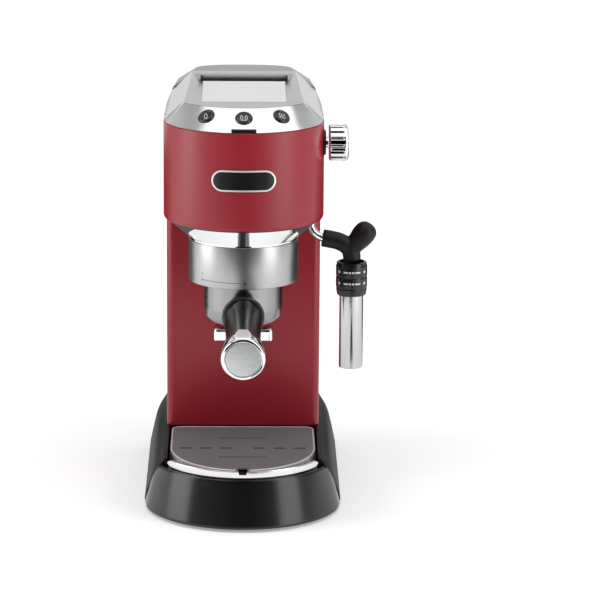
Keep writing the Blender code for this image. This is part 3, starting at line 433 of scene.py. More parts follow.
def rail_mesh(path, section, shrink=None):
    """Sweep a closed (inward, height) section along a path in plan."""
    rows = []
    count = len(path)
    for i, (x, y) in enumerate(path):
        before, after = path[max(0, i - 1)], path[min(count - 1, i + 1)]
        run = Vector((after[0] - before[0], after[1] - before[1])).normalized()
        into = Vector((-run.y, run.x))
        here = shrink(i, count, section) if shrink else section
        rows.append([(x + into.x * d, y + into.y * d, z) for d, z in here])
    return grid_mesh(rows)


# %% Carving and copying
def linked(name, data):
    """A new object in the scene that holds a mesh, a curve, a lamp or a camera."""
    obj = bpy.data.objects.new(name, data)
    scene.collection.objects.link(obj)
    return obj


def block_mesh(low, high):
    """A box between two corners, in millimetres."""
    (x0, y0, z0), (x1, y1, z1) = low, high
    rows = [[(x0, y0, z), (x1, y0, z), (x1, y1, z), (x0, y1, z)] for z in (z0, z1)]
    return grid_mesh(rows)


def rod_mesh(radius, start, end, steps=64):
    """A round rod between two points, in millimetres."""
    start, end = Vector(start), Vector(end)
    length = (end - start).length
    return lathe_mesh([(0, 0), (radius, 0), (radius, length), (0, length)], 0, start,
                      end - start, steps)


def cuts(*meshes):
    """Steps for `carved` that take meshes away."""
    return [("DIFFERENCE", mesh) for mesh in meshes]


def worked_out(obj):
    """The mesh that an object's modifiers make."""
    bpy.context.view_layer.update()
    evaluated = obj.evaluated_get(bpy.context.evaluated_depsgraph_get())
    return bpy.data.meshes.new_from_object(evaluated)


def carved(mesh, *steps, ease=0.0, segments=3, sharp=32.0, soften=None):
    """Run (operation, mesh) steps on a mesh, then ease its sharp edges."""
    obj = linked("scratch", mesh)
    others = []
    for operation, other in steps:
        helper = linked("scratch_tool", other)
        modifier = obj.modifiers.new(operation, "BOOLEAN")
        modifier.operation, modifier.solver, modifier.object = operation, "EXACT", helper
        others.append(helper)
    if soften:
        remesh = obj.modifiers.new("Blend", "REMESH")
        remesh.mode, remesh.voxel_size = "VOXEL", soften * MM
        smooth = obj.modifiers.new("Smooth", "SMOOTH")
        smooth.iterations = 12
    if ease:
        bevel = obj.modifiers.new("Ease", "BEVEL")
        bevel.width, bevel.segments, bevel.limit_method = ease * MM, segments, "ANGLE"
        bevel.angle_limit, bevel.harden_normals = math.radians(30), False
        bevel.miter_outer = "MITER_ARC"
    made = worked_out(obj)
    made.shade_smooth()
    made.set_sharp_from_angle(angle=math.radians(sharp))
    obj.modifiers.clear()
    obj.data = made
    weigh = obj.modifiers.new("Level", "WEIGHTED_NORMAL")
    weigh.keep_sharp, weigh.weight = True, 80
    level = worked_out(obj)
    for item in [obj] + others:
        bpy.data.objects.remove(item, do_unlink=True)
    return level


def eased_copy(node, ease=0.4):
    """A node's own shape, welded, cleaned of needless triangles and eased along its edges."""
    bm = bmesh.new()
    bm.from_mesh(frame["nodes"][node].data)
    bmesh.ops.remove_doubles(bm, verts=bm.verts, dist=2e-6)
    bmesh.ops.dissolve_limit(bm, angle_limit=math.radians(0.6), verts=bm.verts, edges=bm.edges)
    mesh = carved(tidy_mesh(bm), ease=ease, segments=2)
    low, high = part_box(node)
    for vertex in mesh.vertices:
        vertex.co = [min(max(c, a), b) for c, a, b in zip(vertex.co, low, high)]
    return mesh


def tube_mesh(points, radius):
    """A smooth round tube through points, in millimetres."""
    curve = bpy.data.curves.new("route", "CURVE")
    curve.dimensions, curve.use_fill_caps = "3D", True
    curve.bevel_depth, curve.bevel_resolution, curve.resolution_u = radius * MM, 8, 14
    spline = curve.splines.new("BEZIER")
    spline.bezier_points.add(len(points) - 1)
    for knot, point in zip(spline.bezier_points, points):
        knot.co = Vector(point) * MM
        knot.handle_left_type = knot.handle_right_type = "AUTO"
    obj = linked("route", curve)
    bm = bmesh.new()
    scratch = worked_out(obj)
    bm.from_mesh(scratch)
    bpy.data.meshes.remove(scratch)
    bpy.data.objects.remove(obj, do_unlink=True)
    bmesh.ops.remove_doubles(bm, verts=bm.verts, dist=1e-5)
    return tidy_mesh(bm, 50.0)


def joined(*meshes):
    """Several closed meshes as one."""
    bm = bmesh.new()
    for mesh in meshes:
        bm.from_mesh(mesh)
    return tidy_mesh(bm)


def put(name, mesh, look, body, *nodes, slot=None):
    """Place a finished piece: its finish, the body it rides on and the nodes it stands for."""
    mesh.name = name
    obj = linked(name, mesh)
    obj.data.materials.clear()
    obj.data.materials.append(look.material)
    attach(obj, body)
    if nodes:
        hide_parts(*nodes)
    print("  %-22s %6d faces on %s" % (name, len(obj.data.polygons), body))
    return obj


ROOT = "machine_body"
print("mesh tools ready")

# %% [markdown]
# ## The painted head and column
# Both are bent sheet. The head's front is half an ellipse, and its lower edge is rolled inwards,
# which gives the dark line and the soft lip under the paint. A rail with a rolled section shows
# that better than a box with a bevel, and the same rail makes the column with its round corners.
# A narrow plated strip along each side covers the joint between the paint and the hood.

# %% Head and column
HEAD_CENTRE = -60.0                  # where the head's bow starts
SHEET = 1.6
cover_back = column.back + 3.0


def side_half(y):
    """Half the body's width at a depth, between the head's widest place and the rear cover."""
    front, mid, back = head.right, column.right, column.right - 2.8
    if y <= column.front:
        return front + (mid - front) * (y - HEAD_CENTRE) / (column.front - HEAD_CENTRE)
    return mid + (back - mid) * (y - column.front) / (cover_back - column.front)


def head_bow(start, end, steps, out=0.0):
    """The head's bowed front between two angles, moved outwards."""
    return arc(head.right + out, HEAD_CENTRE - head.front + out, (0.0, HEAD_CENTRE), start, end, steps)


bow = head_bow(180.0, 360.0, 128)
side = [(side_half(y), y) for y in (-40.0, -20.0, column.front, 30.0, head.back)]
head_path = [(-x, y) for x, y in reversed(side)] + bow + side
roll = [(0.0, head.top - 0.5), (0.0, head.bottom + 2.4), (0.3, head.bottom + 1.1),
        (1.0, head.bottom + 0.25), (1.9, head.bottom), (2.3, head.bottom + 0.3),
        (2.2, head.bottom + 1.2), (SHEET, head.bottom + 2.6), (SHEET, head.top - 0.5),
        (1.1, head.top), (0.5, head.top)]
put("head_skin", rail_mesh(head_path, eased(roll, 0.35, 3)), red_paint, ROOT,
    "head_shell")
flange = eased([(0.0, head.top + 0.5), (0.0, head.top - 0.6), (1.5, head.top - 0.6),
                (1.5, head.top + 0.5)], 0.3, 2)
runs = [rail_mesh([p if turn > 0 else (-p[0], p[1]) for p in side[::turn]], flange)
        for turn in (1, -1)]
put("hood_flange", joined(*runs), frame_chrome, ROOT, slot="chrome")

corner = arc(5.0, 5.0, (column.right - 5.0, column.front + 5.0), 270.0, 358.0, 14)
column_side = corner + [(column.right - 2.6, column.back)]
front_run = [(-x, y) for x, y in reversed(column_side)] + column_side
sheet = [(0.0, column.top), (0.0, column.bottom), (SHEET, column.bottom), (SHEET, column.top)]
put("column_skin", rail_mesh(front_run, eased(sheet, 0.3, 2)), red_paint, ROOT,
    "column_shell")

# %% [markdown]
# ## The black base and the drip tray's skirt
# The base flares towards the table. Its sides follow a curve, and its front leans like a cone.
# The tray carries the cone's front part as its skirt, cut from the side arms along a slanted
# plane. The skirt is one grid whose radius is the softer of the cone and the sides, so the
# crease between them is round. The arms need a bay and a deck, so they are carved.

# %% Base
base = Room("base_housing")
tray = Room("drip_tray")
BASE_CENTRE = -53.0                  # centre of the round front
CONE_LOW, CONE_HIGH = 74.5, 63.5     # its radius at the table and at the top
PARTING_LOW, PARTING_SLOPE = -52.0, 0.70
ARM_IN = 55.2                        # half width of the tray's bay
# The side's curve, as (height, half width) points from the top down.
flare_points = [(43.5, 57.8), (37.8, 61.3), (32.8, 64.6), (26.8, 67.2), (19.0, 69.2),
                (10.0, 71.2), (3.6, 72.6), (2.2, 71.6)]


def flare(z):
    """Half the base's width at a height, on a smooth curve."""
    for (z1, x1), (z0, x0) in zip(flare_points, flare_points[1:]):
        if z >= z0:
            k = flare_points.index((z1, x1))
            xb = flare_points[max(0, k - 1)][1]
            xa = flare_points[min(len(flare_points) - 1, k + 2)][1]
            t = (z1 - z) / (z1 - z0)
            if k >= len(flare_points) - 3 or k == 0:
                return x1 + (x0 - x1) * t
            m1, m0 = (x0 - xb) / 2, (xa - x1) / 2
            return ((2 * t ** 3 - 3 * t ** 2 + 1) * x1 + (t ** 3 - 2 * t ** 2 + t) * m1
                    + (-2 * t ** 3 + 3 * t ** 2) * x0 + (t ** 3 - t ** 2) * m0)
    return flare_points[-1][1]


heights = [43.5 - 41.3 * i / 44 for i in range(45)]
right_side = [(min(flare(z), base.right), z) for z in heights]
section = right_side + [(-x, z) for x, z in reversed(right_side)]
flared = grid_mesh([[(x, y, z) for x, z in section] for y in (140.0, -140.0)])
plan_rows = []
for z, radius in ((-1.0, CONE_LOW), (50.0, CONE_HIGH - 1.6)):
    front = arc(radius, radius, (0.0, BASE_CENTRE), 180.0, 360.0, 96)
    rear = arc(78.0, 30.0, (0.0, base.back - 30.0), 0.0, 180.0, 72)
    plan_rows.append([(x, y, z) for x, y in front + rear])
parting_rows = []
for z in (0.0, 60.0):
    y = PARTING_LOW - PARTING_SLOPE * z
    parting_rows.append([(-90, y, z), (90, y, z), (90, y - 300, z), (-90, y - 300, z)])
switch = Room("switch_bezel")
gland = Room("inlet_gland")
housing = carved(
    flared, ("INTERSECT", grid_mesh(plan_rows)),
    ("DIFFERENCE", grid_mesh(parting_rows)),
    ("DIFFERENCE", block_mesh((-ARM_IN, -160, 9.0), (ARM_IN, 4.8, 60))),
    ("UNION", slab_mesh(bowed_plan(58.0, -112.0, BASE_CENTRE, 20.0), 2.9, 9.0, 0.2, 1)),
    ("DIFFERENCE", rod_mesh(7.4, (gland.x, 150, gland.z), (gland.x, 100, gland.z))),
    ("DIFFERENCE", block_mesh((switch.left - 0.2, 100, switch.bottom - 0.2),
                              (switch.right + 0.2, 150, switch.top + 0.2))),
    ease=0.5, segments=3)
put("base_housing_shell", housing, side_black, ROOT, "base_housing")

# %% Tray skirt and basin
skirt_top = tray.top
SOFT = 3.2                           # how widely the cone and the side blend, in millimetres


def softer_of(a, b):
    """The smaller of two radii, with the change between them rounded."""
    share = max(0.0, min(1.0, 0.5 + 0.5 * (b - a) / SOFT))
    return b + (a - b) * share - SOFT * share * (1 - share)


def skirt_radius(angle, z):
    """How far the skirt stands from the round front's centre, at an angle from straight ahead."""
    cone = CONE_LOW - 0.2 + (CONE_HIGH - CONE_LOW) * (z + 1.0) / 51.0
    sine = abs(math.sin(angle))
    return softer_of(cone, (flare(z) - 0.1) / sine) if sine > 0.3 else cone


def skirt_end(z):
    """The angle at which the skirt meets the parting plane at a height."""
    low_angle, high_angle = 0.2, 2.2
    limit = PARTING_LOW - PARTING_SLOPE * z - 0.5
    for _ in range(40):
        angle = (low_angle + high_angle) / 2
        y = BASE_CENTRE - skirt_radius(angle, z) * math.cos(angle)
        low_angle, high_angle = (angle, high_angle) if y < limit else (low_angle, angle)
    return low_angle


outer = []
skirt_heights = [skirt_top, skirt_top - 0.15, skirt_top - 0.6]
skirt_heights += [skirt_top - 0.6 - (skirt_top - 4.4) * i / 24 for i in range(1, 25)]
skirt_heights += [3.0, 2.4, 2.2]
pulls = [0.9, 0.25] + [0.0] * (len(skirt_heights) - 5) + [0.1, 0.5, 1.2]
for z, pull in zip(skirt_heights, pulls):
    end = skirt_end(z)
    row = []
    for i in range(129):
        angle = -end + 2 * end * i / 128
        r = skirt_radius(angle, z) - pull
        row.append((r * math.sin(angle), BASE_CENTRE - r * math.cos(angle), z))
    outer.append(row)
INNER = 0.962                        # the skirt's inner face, as a share of its outer one
inner = [[(x * INNER, BASE_CENTRE + (y - BASE_CENTRE) * INNER, z) for x, y, z in row] for row in outer]
bm = bmesh.new()
grids = [[corners(bm, row) for row in g] for g in (outer, inner)]
for g in grids:
    skin(bm, g, False)
for index in (0, -1):
    skin(bm, [grids[0][index], grids[1][index]], False)
    for (p, q), (r, s) in zip(zip(grids[0], grids[0][1:]), zip(grids[1], grids[1][1:])):
        bm.faces.new((p[index], q[index], s[index], r[index]))
put("tray_skirt", tidy_mesh(bm, 40.0), base_black, "drip_tray", "drip_tray")

TRAY_HALF, TRAY_FRONT, TRAY_BACK = 54.6, -112.5, 4.0
basin = carved(
    slab_mesh(bowed_plan(TRAY_HALF, TRAY_FRONT, BASE_CENTRE, TRAY_BACK), 9.4, tray.top, 0.4),
    ("DIFFERENCE", slab_mesh(bowed_plan(TRAY_HALF - 2, TRAY_FRONT + 2, BASE_CENTRE,
                                                      TRAY_BACK - 2), 11.4, 60.0, 1.5)),
    ease=0.3, segments=2)
put("tray_basin", basin, inner_black, "drip_tray", slot="base_black")

# %% [markdown]
# ## The tray's bright band and the cup plate
# The band is a plated strip with soft edges that thins out at both ends, and a notch in its
# middle lets the float show. The plate is a satin grey sheet with a bright bead around its rim
# and slots that drain it. The slots are real holes, because a painted slot has no edge to catch
# the light.

# %% Band and plate
trim = Room("tray_trim")
BAND_REACH = 60.0
radius = -(trim.front - BASE_CENTRE)
band_path = arc(radius, radius, (0.0, BASE_CENTRE), 270 - BAND_REACH, 270 + BAND_REACH, 160)
band = eased([(0.0, trim.top), (0.0, trim.bottom), (2.4, trim.bottom), (2.4, trim.top)], 0.9, 4)


def band_section(i, count, here):
    """The band's section: low in the notch, and thinner towards the two ends."""
    share = min(i, count - 1 - i) / 7.0
    x = abs(band_path[i][0])
    height = 1.0 if share >= 1 else math.sqrt(max(0.03, 1 - (1 - share) ** 2))
    middle = (trim.top + trim.bottom) / 2
    shaped_now = [(d, middle + (z - middle) * height) for d, z in here]
    if x < 3.3:
        shaped_now = [(d, min(z, trim.top - 2.8)) for d, z in shaped_now]
    return shaped_now


put("tray_band", rail_mesh(band_path, band, shrink=band_section), hood_chrome, "drip_tray",
    "tray_trim")

grille = Room("cup_grille")
plate_plan = bowed_plan(grille.right, grille.front, BASE_CENTRE, grille.back, 7.0)
CUT_LOW, CUT_HIGH = 30, 50            # the cutters run past both faces of the plate
SHORT_ROW, LONG_ROWS = -55.0, (-78.5, -28.5)
pills = [pill(2.8, 2.0, (x, SHORT_ROW), 8) for x in (-42.0, -27.0, -12.0, 12.0, 27.0, 42.0)]
pills += [pill(17.0, 1.0, (0.0, y), 8) for y in LONG_ROWS]
slots = cuts(*[slab_mesh(outline, CUT_LOW, CUT_HIGH, 0.1, 1) for outline in pills],
             block_mesh((-3.4, -120, 35), (3.4, -106.4, 50)))
plate = carved(slab_mesh(inset(plate_plan, 0.2), grille.top - 1.7, grille.top - 0.35, 0.2, 2),
               *slots, ease=0.25, segments=2)
put("cup_plate", plate, plate_steel, "cup_grille", "cup_grille")
bead_plan = [p for p in plate_plan if not (abs(p[0]) < 3.6 and p[1] < -100)]
start = next(i for i, p in enumerate(bead_plan) if p[1] < -100 and p[0] > 3.6)
bead_path = bead_plan[start:] + bead_plan[:start]
bead = [(0.75 + 0.75 * math.cos(a), grille.top - 0.8 + 0.8 * math.sin(a))
        for a in [2 * math.pi * k / 12 for k in range(12)]]
bead = [(d, z if z > grille.top - 0.8 else z - 4.0) for d, z in bead]
put("cup_plate_rim", rail_mesh(bead_path, bead), rim_silver, "cup_grille",
    slot="polished_steel")

# %% [markdown]
# ## The badge and the control panel
# The badge is a blank pill with a bright rim, bent to the head's bow. The panel is a plated
# sheet that slopes up from the head's bow to a gentler bow on top. Three holes take the
# buttons, so the sheet is carved from a fine grid.

# %% Badge
for name, node, look, half, rise, depth, hole in (
        ("badge_bezel", "badge_rim", rim_silver, 22.8, 7.6, 1.0, (21.7, 6.5)),
        ("badge_plate", "badge_face", panel_black, 21.4, 6.2, 0.8, None)):
    room = Room(node)
    middle = room.z
    path = head_bow(235.0, 305.0, 96, 0.3 + depth)
    sheet = [(0.0, middle + 10), (0.0, middle - 10), (depth, middle - 10), (depth, middle + 10)]
    cutters = []
    for w, h, operation in [(half, rise, "INTERSECT")] + ([(*hole, "DIFFERENCE")] if hole else []):
        outline = pill(w - h, h, (0.0, middle), 24)
        cutters.append((operation, grid_mesh([[(x, y, z) for x, z in outline]
                                                      for y in (-90.0, -130.0)])))
    put(name, carved(rail_mesh(path, sheet), *cutters, ease=0.35, segments=3), look, ROOT, node)

# %% Panel
RIDGE_HALF, RIDGE_FRONT, RIDGE_CORNER = 42.8, -98.0, -78.0
panel = Room("control_panel")
lean = math.degrees(math.acos(panel.right / head.right))
lower_rail = head_bow(180.0 + lean, 360.0 - lean, 96)
bow_depth = RIDGE_CORNER - RIDGE_FRONT
ridge_radius = (RIDGE_HALF ** 2 + bow_depth ** 2) / (2 * bow_depth)
spread = math.degrees(math.asin(RIDGE_HALF / ridge_radius))
upper_rail = arc(ridge_radius, ridge_radius, (0.0, RIDGE_FRONT + ridge_radius), 270.0 - spread,
                 270.0 + spread, 96)
PANEL_SHEET = 1.8


def press_of(node):
    """A button's face point and outward normal, from its joint and its own points."""
    joint = next(j for j in frame["joints"] if j["child"] == node)
    normal = -Vector(joint["axis"]).normalized()
    centre = mean_of(node)
    centre += normal * (reach_along(node, centre, normal)[1] - 1.7)
    return centre, normal


skin_rows = []
for share in (0.0, 0.25, 0.5, 0.75, 1.0):
    row = []
    for (x0, y0), (x1, y1) in zip(lower_rail, upper_rail):
        row.append(Vector((x0, y0, head.top + 0.35)).lerp(Vector((x1, y1, panel.top - 0.1)), share))
    skin_rows.append(row)
inward = Vector((0.0, 0.64, -0.77)) * PANEL_SHEET
section_rows = []
for i in range(len(lower_rail)):
    face = [row[i] for row in skin_rows]
    back = [p + inward for p in reversed(face)]
    section_rows.append([tuple(p) for p in face + back])
holes = []
for node in ("single_shot_button", "double_shot_button", "steam_button"):
    point, normal = press_of(node)
    holes.append(rod_mesh(6.25, point - normal * 8, point + normal * 8))
holes.append(block_mesh((-70, -130, head.top - 12), (70, -50, head.top + 0.3)))
holes.append(block_mesh((-8.8, -125, head.top - 5), (8.8, -100, head.top + 2.6)))
put("control_panel_sheet", carved(grid_mesh(section_rows), *cuts(*holes), ease=0.3, segments=3),
    hood_chrome, ROOT, "control_panel")

# %% [markdown]
# ## Buttons
# Each button is turned, with a shallow dish in its top, and rides on its own body so that it
# travels. Its pale mark is a raised print in plain signs: one drop, two drops and a wave.

# %% Buttons and their marks
button_profile = [(0.0, 0.75), (3.6, 1.0), (4.7, 1.45), (5.3, 1.1), (5.9, 0.2), (5.9, -5.8),
                  (5.6, -6.0), (0.0, -6.0)]


def stroke(points, width, frame_at, height):
    """A flat raised line through points on a button's face."""
    origin, right, up, out = frame_at
    rows_now = []
    for i, (x, y) in enumerate(points):
        before, after = points[max(0, i - 1)], points[min(len(points) - 1, i + 1)]
        run = Vector((after[0] - before[0], after[1] - before[1])).normalized()
        across_now = Vector((-run.y, run.x)) * width / 2
        row = []
        for s, h in ((-1, height), (1, height), (1, height - 0.35), (-1, height - 0.35)):
            row.append(origin + right * (x + across_now.x * s) + up * (y + across_now.y * s) + out * h)
        rows_now.append(row)
    return grid_mesh(rows_now)


def loop(cx, cy, rx, ry, taper=0.0, steps=22):
    """A closed drop-shaped line."""
    return [(cx + rx * math.sin(a) * (1 - taper * (1 + math.cos(a)) / 2), cy + ry * math.cos(a))
            for a in [2 * math.pi * i / steps for i in range(steps + 1)]]


# Each mark is a list of lines, and each line is a list of (right, up) points in millimetres.
marks = {
    "single_shot_button": [loop(0.0, -0.1, 1.5, 2.1, 0.6), [(-2.2, -2.8), (2.2, -2.8)]],
    "double_shot_button": [loop(-1.6, 0.0, 1.15, 1.8, 0.6), loop(1.6, 0.0, 1.15, 1.8, 0.6),
                           [(-2.6, -2.6), (2.6, -2.6)]],
    "steam_button": [[(x + 0.6 * math.sin(t * 1.6), -2.2 + t) for t in [0.4 * k for k in range(12)]]
                     for x in (-1.7, 0.0, 1.7)],
}
for node, lines in marks.items():
    point, normal = press_of(node)
    put(node + "_cap", lathe_mesh(button_profile, 0.25, point, normal, 64, sharp=45.0),
        panel_black, node, node)
    right = Vector((1, 0, 0)) - normal * normal.x
    right.normalize()
    spot = (point, right, normal.cross(right), normal)
    put(node + "_mark", joined(*[stroke(line, 0.42, spot, 0.98) for line in lines]),
        pale_print, node, slot="silver")

# %% [markdown]
# ## The hood, the cup warmer and the lid
# The hood's faces are flat facets that meet along crisp ridges, so its own shape is kept, with
# the ridges eased. The warmer is a pressed plate of nine round ribs, a dark floor closes the vent
# slot behind it, and the lid carries the hood's slopes on over the tank.

# %% Hood, warmer and lid
put("top_frame", eased_copy("top_hood", 0.55), frame_chrome, ROOT, "top_hood")
warmer = Room("cup_warmer_plate")
RIBS, RIB_STEPS, RIB_BASE = 9, 14, 0.6
pitch = (warmer.back - warmer.front) / RIBS
ribbed = []
for i in range(RIBS * RIB_STEPS + 1):
    y = warmer.front + pitch * i / RIB_STEPS
    phase = (i % RIB_STEPS) / RIB_STEPS if i < RIBS * RIB_STEPS else 0.0
    across_rib = min(1.0, max(0.0, (phase - 0.12) / 0.76))   # a flat gutter lies between two ribs
    ribbed.append((y, warmer.bottom + RIB_BASE + (warmer.top - warmer.bottom - RIB_BASE)
                   * max(0.0, math.sin(math.pi * across_rib)) ** 0.55))
outline = ribbed + [(warmer.back, warmer.bottom), (warmer.front, warmer.bottom)]
put("warmer_ribs", grid_mesh([[(x, y, z) for y, z in outline]
                                             for x in (warmer.left, warmer.right)], sharp=50.0),
    warmer_steel, ROOT, "cup_warmer_plate")
put("vent_well", block_mesh((-33.0, 33.0, 296.6), (33.0, 48.0, 298.0)), inner_black, ROOT,
    slot="panel_black")
put("lid_cover", eased_copy("tank_lid", 0.8), silver, "tank_lid", "tank_lid")

# %% [markdown]
# ## The brew group
# A flare opens from a round foot on the ring to the outline of the head, so it can't be turned:
# each of its rows blends a circle into that outline. Its front is plated and the rest is a dull
# black collar with a hole for the steam pipe. A thin black seam closes it under the head. Below
# it are a wide steel ring, with a fine line and dots that show the locked position, and the bowl.
# Their scratches run round the axis, because that is how a lathe leaves them.

# %% Flare and seam
group = (0.0, ring.y, 0.0)
swivel = Room("wand_socket")
head_plate = Room("head_underside")
FLARE_SHEET, FLARE_STEP = 1.6, 2.7   # its thickness, and its distance inside the head's outline
flare_foot = ring.right - 0.5


def about_group(reach, angle, z):
    """A point at a reach and an angle from the group's axis."""
    return (reach * math.cos(angle), ring.y + reach * math.sin(angle), z)


def head_reach(angle):
    """How far the head's inner outline is from the group's axis, at an angle."""
    low, high = 30.0, 90.0
    depth = HEAD_CENTRE - head.front - FLARE_STEP
    for _ in range(30):
        reach = (low + high) / 2
        x, y = abs(reach * math.cos(angle)), ring.y + reach * math.sin(angle)
        if y < HEAD_CENTRE:
            inside = (x / (head.right - FLARE_STEP)) ** 2 + ((y - HEAD_CENTRE) / depth) ** 2 < 1
        else:
            inside = x < side_half(y) - FLARE_STEP and y < head_plate.back - 0.3
        low, high = (reach, high) if inside else (low, reach)
    return low


def flare_mesh(foot_span, rim_span, steps):
    """Part of the flare; each span is the start and end angle at the foot or at the rim."""
    z0, z1 = ring.top + 0.1, funnel.top
    section_now = [(0.0, z0, 0.0), (0.0, z0 + 0.9, 0.0), (0.10, z0 + 2.0, 0.0)]
    section_now += [(t, z0 + 2.0 + (z1 - z0 - 2.3) * (t - 0.10) / 0.90, 0.0) for t in (0.4, 0.7, 1.0)]
    section_now += [(1.0, z1, 0.5), (1.0, z1, FLARE_SHEET), (0.0, z0 + 1.6, FLARE_SHEET),
                    (0.0, z0, FLARE_SHEET)]
    rows_now = []
    for i in range(steps + 1):
        row_now = []
        for share, z, step in section_now:
            first, last = [a + (b - a) * share for a, b in zip(foot_span, rim_span)]
            angle = math.radians(first + (last - first) * i / steps)
            reach = flare_foot + (head_reach(angle) - flare_foot) * share - step
            row_now.append(about_group(reach, angle, z))
        rows_now.append(row_now)
    return grid_mesh(rows_now, sharp=24.0)


put("group_flare", flare_mesh((190.0, 350.0), (224.0, 316.0), 120), chrome, ROOT, "group_funnel")
gap_low, gap_high = (swivel.x, sleeve.y, 200), (swivel.x, sleeve.y, 230)
put("group_flare_collar", carved(flare_mesh((350.0, 550.0), (316.0, 584.0), 150),
                                 ("DIFFERENCE", rod_mesh(7.6, gap_low, gap_high))),
    inner_black, ROOT, slot="panel_black")
SEAM_OUT, SEAM_IN, SEAM_DROP = 0.25, 0.6, 0.7
seam_rows = []
for i in range(240):
    angle = math.pi * i / 120
    reach = head_reach(angle)
    far, near, low = reach + SEAM_OUT, reach - SEAM_IN, funnel.top - SEAM_DROP
    seam_rows.append([about_group(r, angle, z) for r, z in ((far, funnel.top), (far, low),
                                                            (near, low), (near, funnel.top))])
put("head_seam", grid_mesh(seam_rows, closed=True), inner_black, ROOT,
    slot="panel_black")
print("flare foot %.1f mm, rim ahead %.1f mm" % (flare_foot, head_reach(-math.pi / 2)))

# %% Ring and its marks
outer_r = ring.right
RING_BORE, RING_SEAT, SEAT_HEIGHT = 33.9, 36.8, 180.6
ring_profile = [(outer_r, ring.top), (outer_r, ring.bottom), (RING_BORE, ring.bottom),
                (RING_BORE, SEAT_HEIGHT), (RING_SEAT, SEAT_HEIGHT), (RING_SEAT, ring.top)]
put("group_ring_band", lathe_mesh(ring_profile, 0.8, group, steps=160), ring_steel, ROOT,
    "group_ring")


mark_r = outer_r + 0.05              # marks stand this far from the group's axis
MARK_DEPTH = 0.25


def ring_dot(angle, z, size):
    """A small round dot on the ring."""
    a = math.radians(angle)
    return rod_mesh(size, about_group(mark_r - MARK_DEPTH, a, z), about_group(mark_r, a, z), 20)


mark_line = rail_mesh(arc(mark_r, mark_r, group[:2], 222.0, 268.0, 92),
                      [(0, 180.35), (0, 180.0), (MARK_DEPTH, 180.0), (MARK_DEPTH, 180.35)])
put("group_ring_marks", joined(
    mark_line, ring_dot(222.0, 180.2, 0.55), ring_dot(272.0, 180.2, 0.75),
    ring_dot(222.0, 184.6, 0.5)),
    dark_print, ROOT, slot="panel_black")

# %% Bowl, spout and basket
bowl_r = 28.4
bowl_profile = [(0.0, 146.4), (19.0, 146.4), (24.6, 149.6), (26.4, 155.0), (26.9, bowl.top),
                (33.2, bowl.top), (33.2, 181.2), (29.4, 177.6), (bowl_r, 174.0), (bowl_r, 155.0),
                (27.4, 148.8), (24.2, 145.0), (19.0, 143.2), (12.0, bowl.bottom + 0.1),
                (0.0, bowl.bottom + 0.1)]
bowl_mesh = lathe_mesh(bowl_profile, 1.2, group, steps=144)
collar_at, cap_at = mean_of("handle_collar"), mean_of("handle_cap")
handle_axis = (cap_at - collar_at).normalized()
neck_start = collar_at - handle_axis * 14.0
neck = lathe_mesh([(0.0, 0.0), (9.6, 0.0), (8.5, 6.0), (8.5, 11.6), (0.0, 11.6)], 1.0, neck_start,
                  handle_axis, 64)
LUG_OUT, LUG_IN, LUG_TURN = 36.3, 31.0, 16   # two radii, and half a lug's angle in degrees
lugs = []
for turn in (0.0, 180.0):
    wedge = arc(LUG_OUT, LUG_OUT, (0, ring.y), turn - LUG_TURN, turn + LUG_TURN, 16)
    wedge += arc(LUG_IN, LUG_IN, (0, ring.y), turn + LUG_TURN, turn - LUG_TURN, 16)
    lugs.append(slab_mesh(wedge, 181.1, 184.8, 0.5))
put("filter_holder_bowl", joined(bowl_mesh, neck, *lugs), bowl_steel, "portafilter",
    "filter_holder")

spout = Room("twin_spout")
spout_mesh = carved(
    block_mesh((spout.left, spout.front, spout.bottom), (spout.right, spout.back, 139.4)),
    ease=2.6, segments=6)
outlets = cuts(*[rod_mesh(4.4, (x, ring.y, 120), (x, ring.y, 136), 48) for x in (-14, 14)])
spout_mesh = carved(spout_mesh, *outlets)
spout_neck = lathe_mesh([(0.0, 137.0), (11.0, 139.0), (8.2, 140.6), (8.2, spout.top),
                         (0.0, spout.top)], 0.8, group, steps=64)
put("twin_spout_body", joined(spout_mesh, spout_neck), chrome, "portafilter", "twin_spout")

# %% [markdown]
# ## The portafilter's handle
# The handle leans down a little. Its axis comes from the collar and the cap. The grip is a
# moulded taper whose section is a rounded square, so light runs down it in long flat bands. The
# cap is a plated ring around a brushed disc, with a small bright tongue that overlaps the grip.

# %% Handle
grip_start, grip_end = reach_along("handle_grip", collar_at, handle_axis)
collar_low, collar_high = reach_along("handle_collar", collar_at, handle_axis)
cap_low, cap_high = reach_along("handle_cap", collar_at, handle_axis)
collar_profile = [(0.0, collar_low), (13.6, collar_low), (15.2, collar_low + 1.3),
                  (15.2, collar_high - 1.0), (14.5, collar_high), (0.0, collar_high)]
put("handle_root", lathe_mesh(collar_profile, 0.5, collar_at, handle_axis), grip_black,
    "portafilter", "handle_collar")


GRIP_POWER, GRIP_SHRINK = 2.7, 0.925  # 2 is a circle, more is squarer; the shrink keeps its size


def squared(a, height):
    """A rounded square, as a share of the radius at an angle."""
    c, s = abs(math.cos(a - math.pi / 4)), abs(math.sin(a - math.pi / 4))
    return (c ** GRIP_POWER + s ** GRIP_POWER) ** (-1 / GRIP_POWER) * GRIP_SHRINK



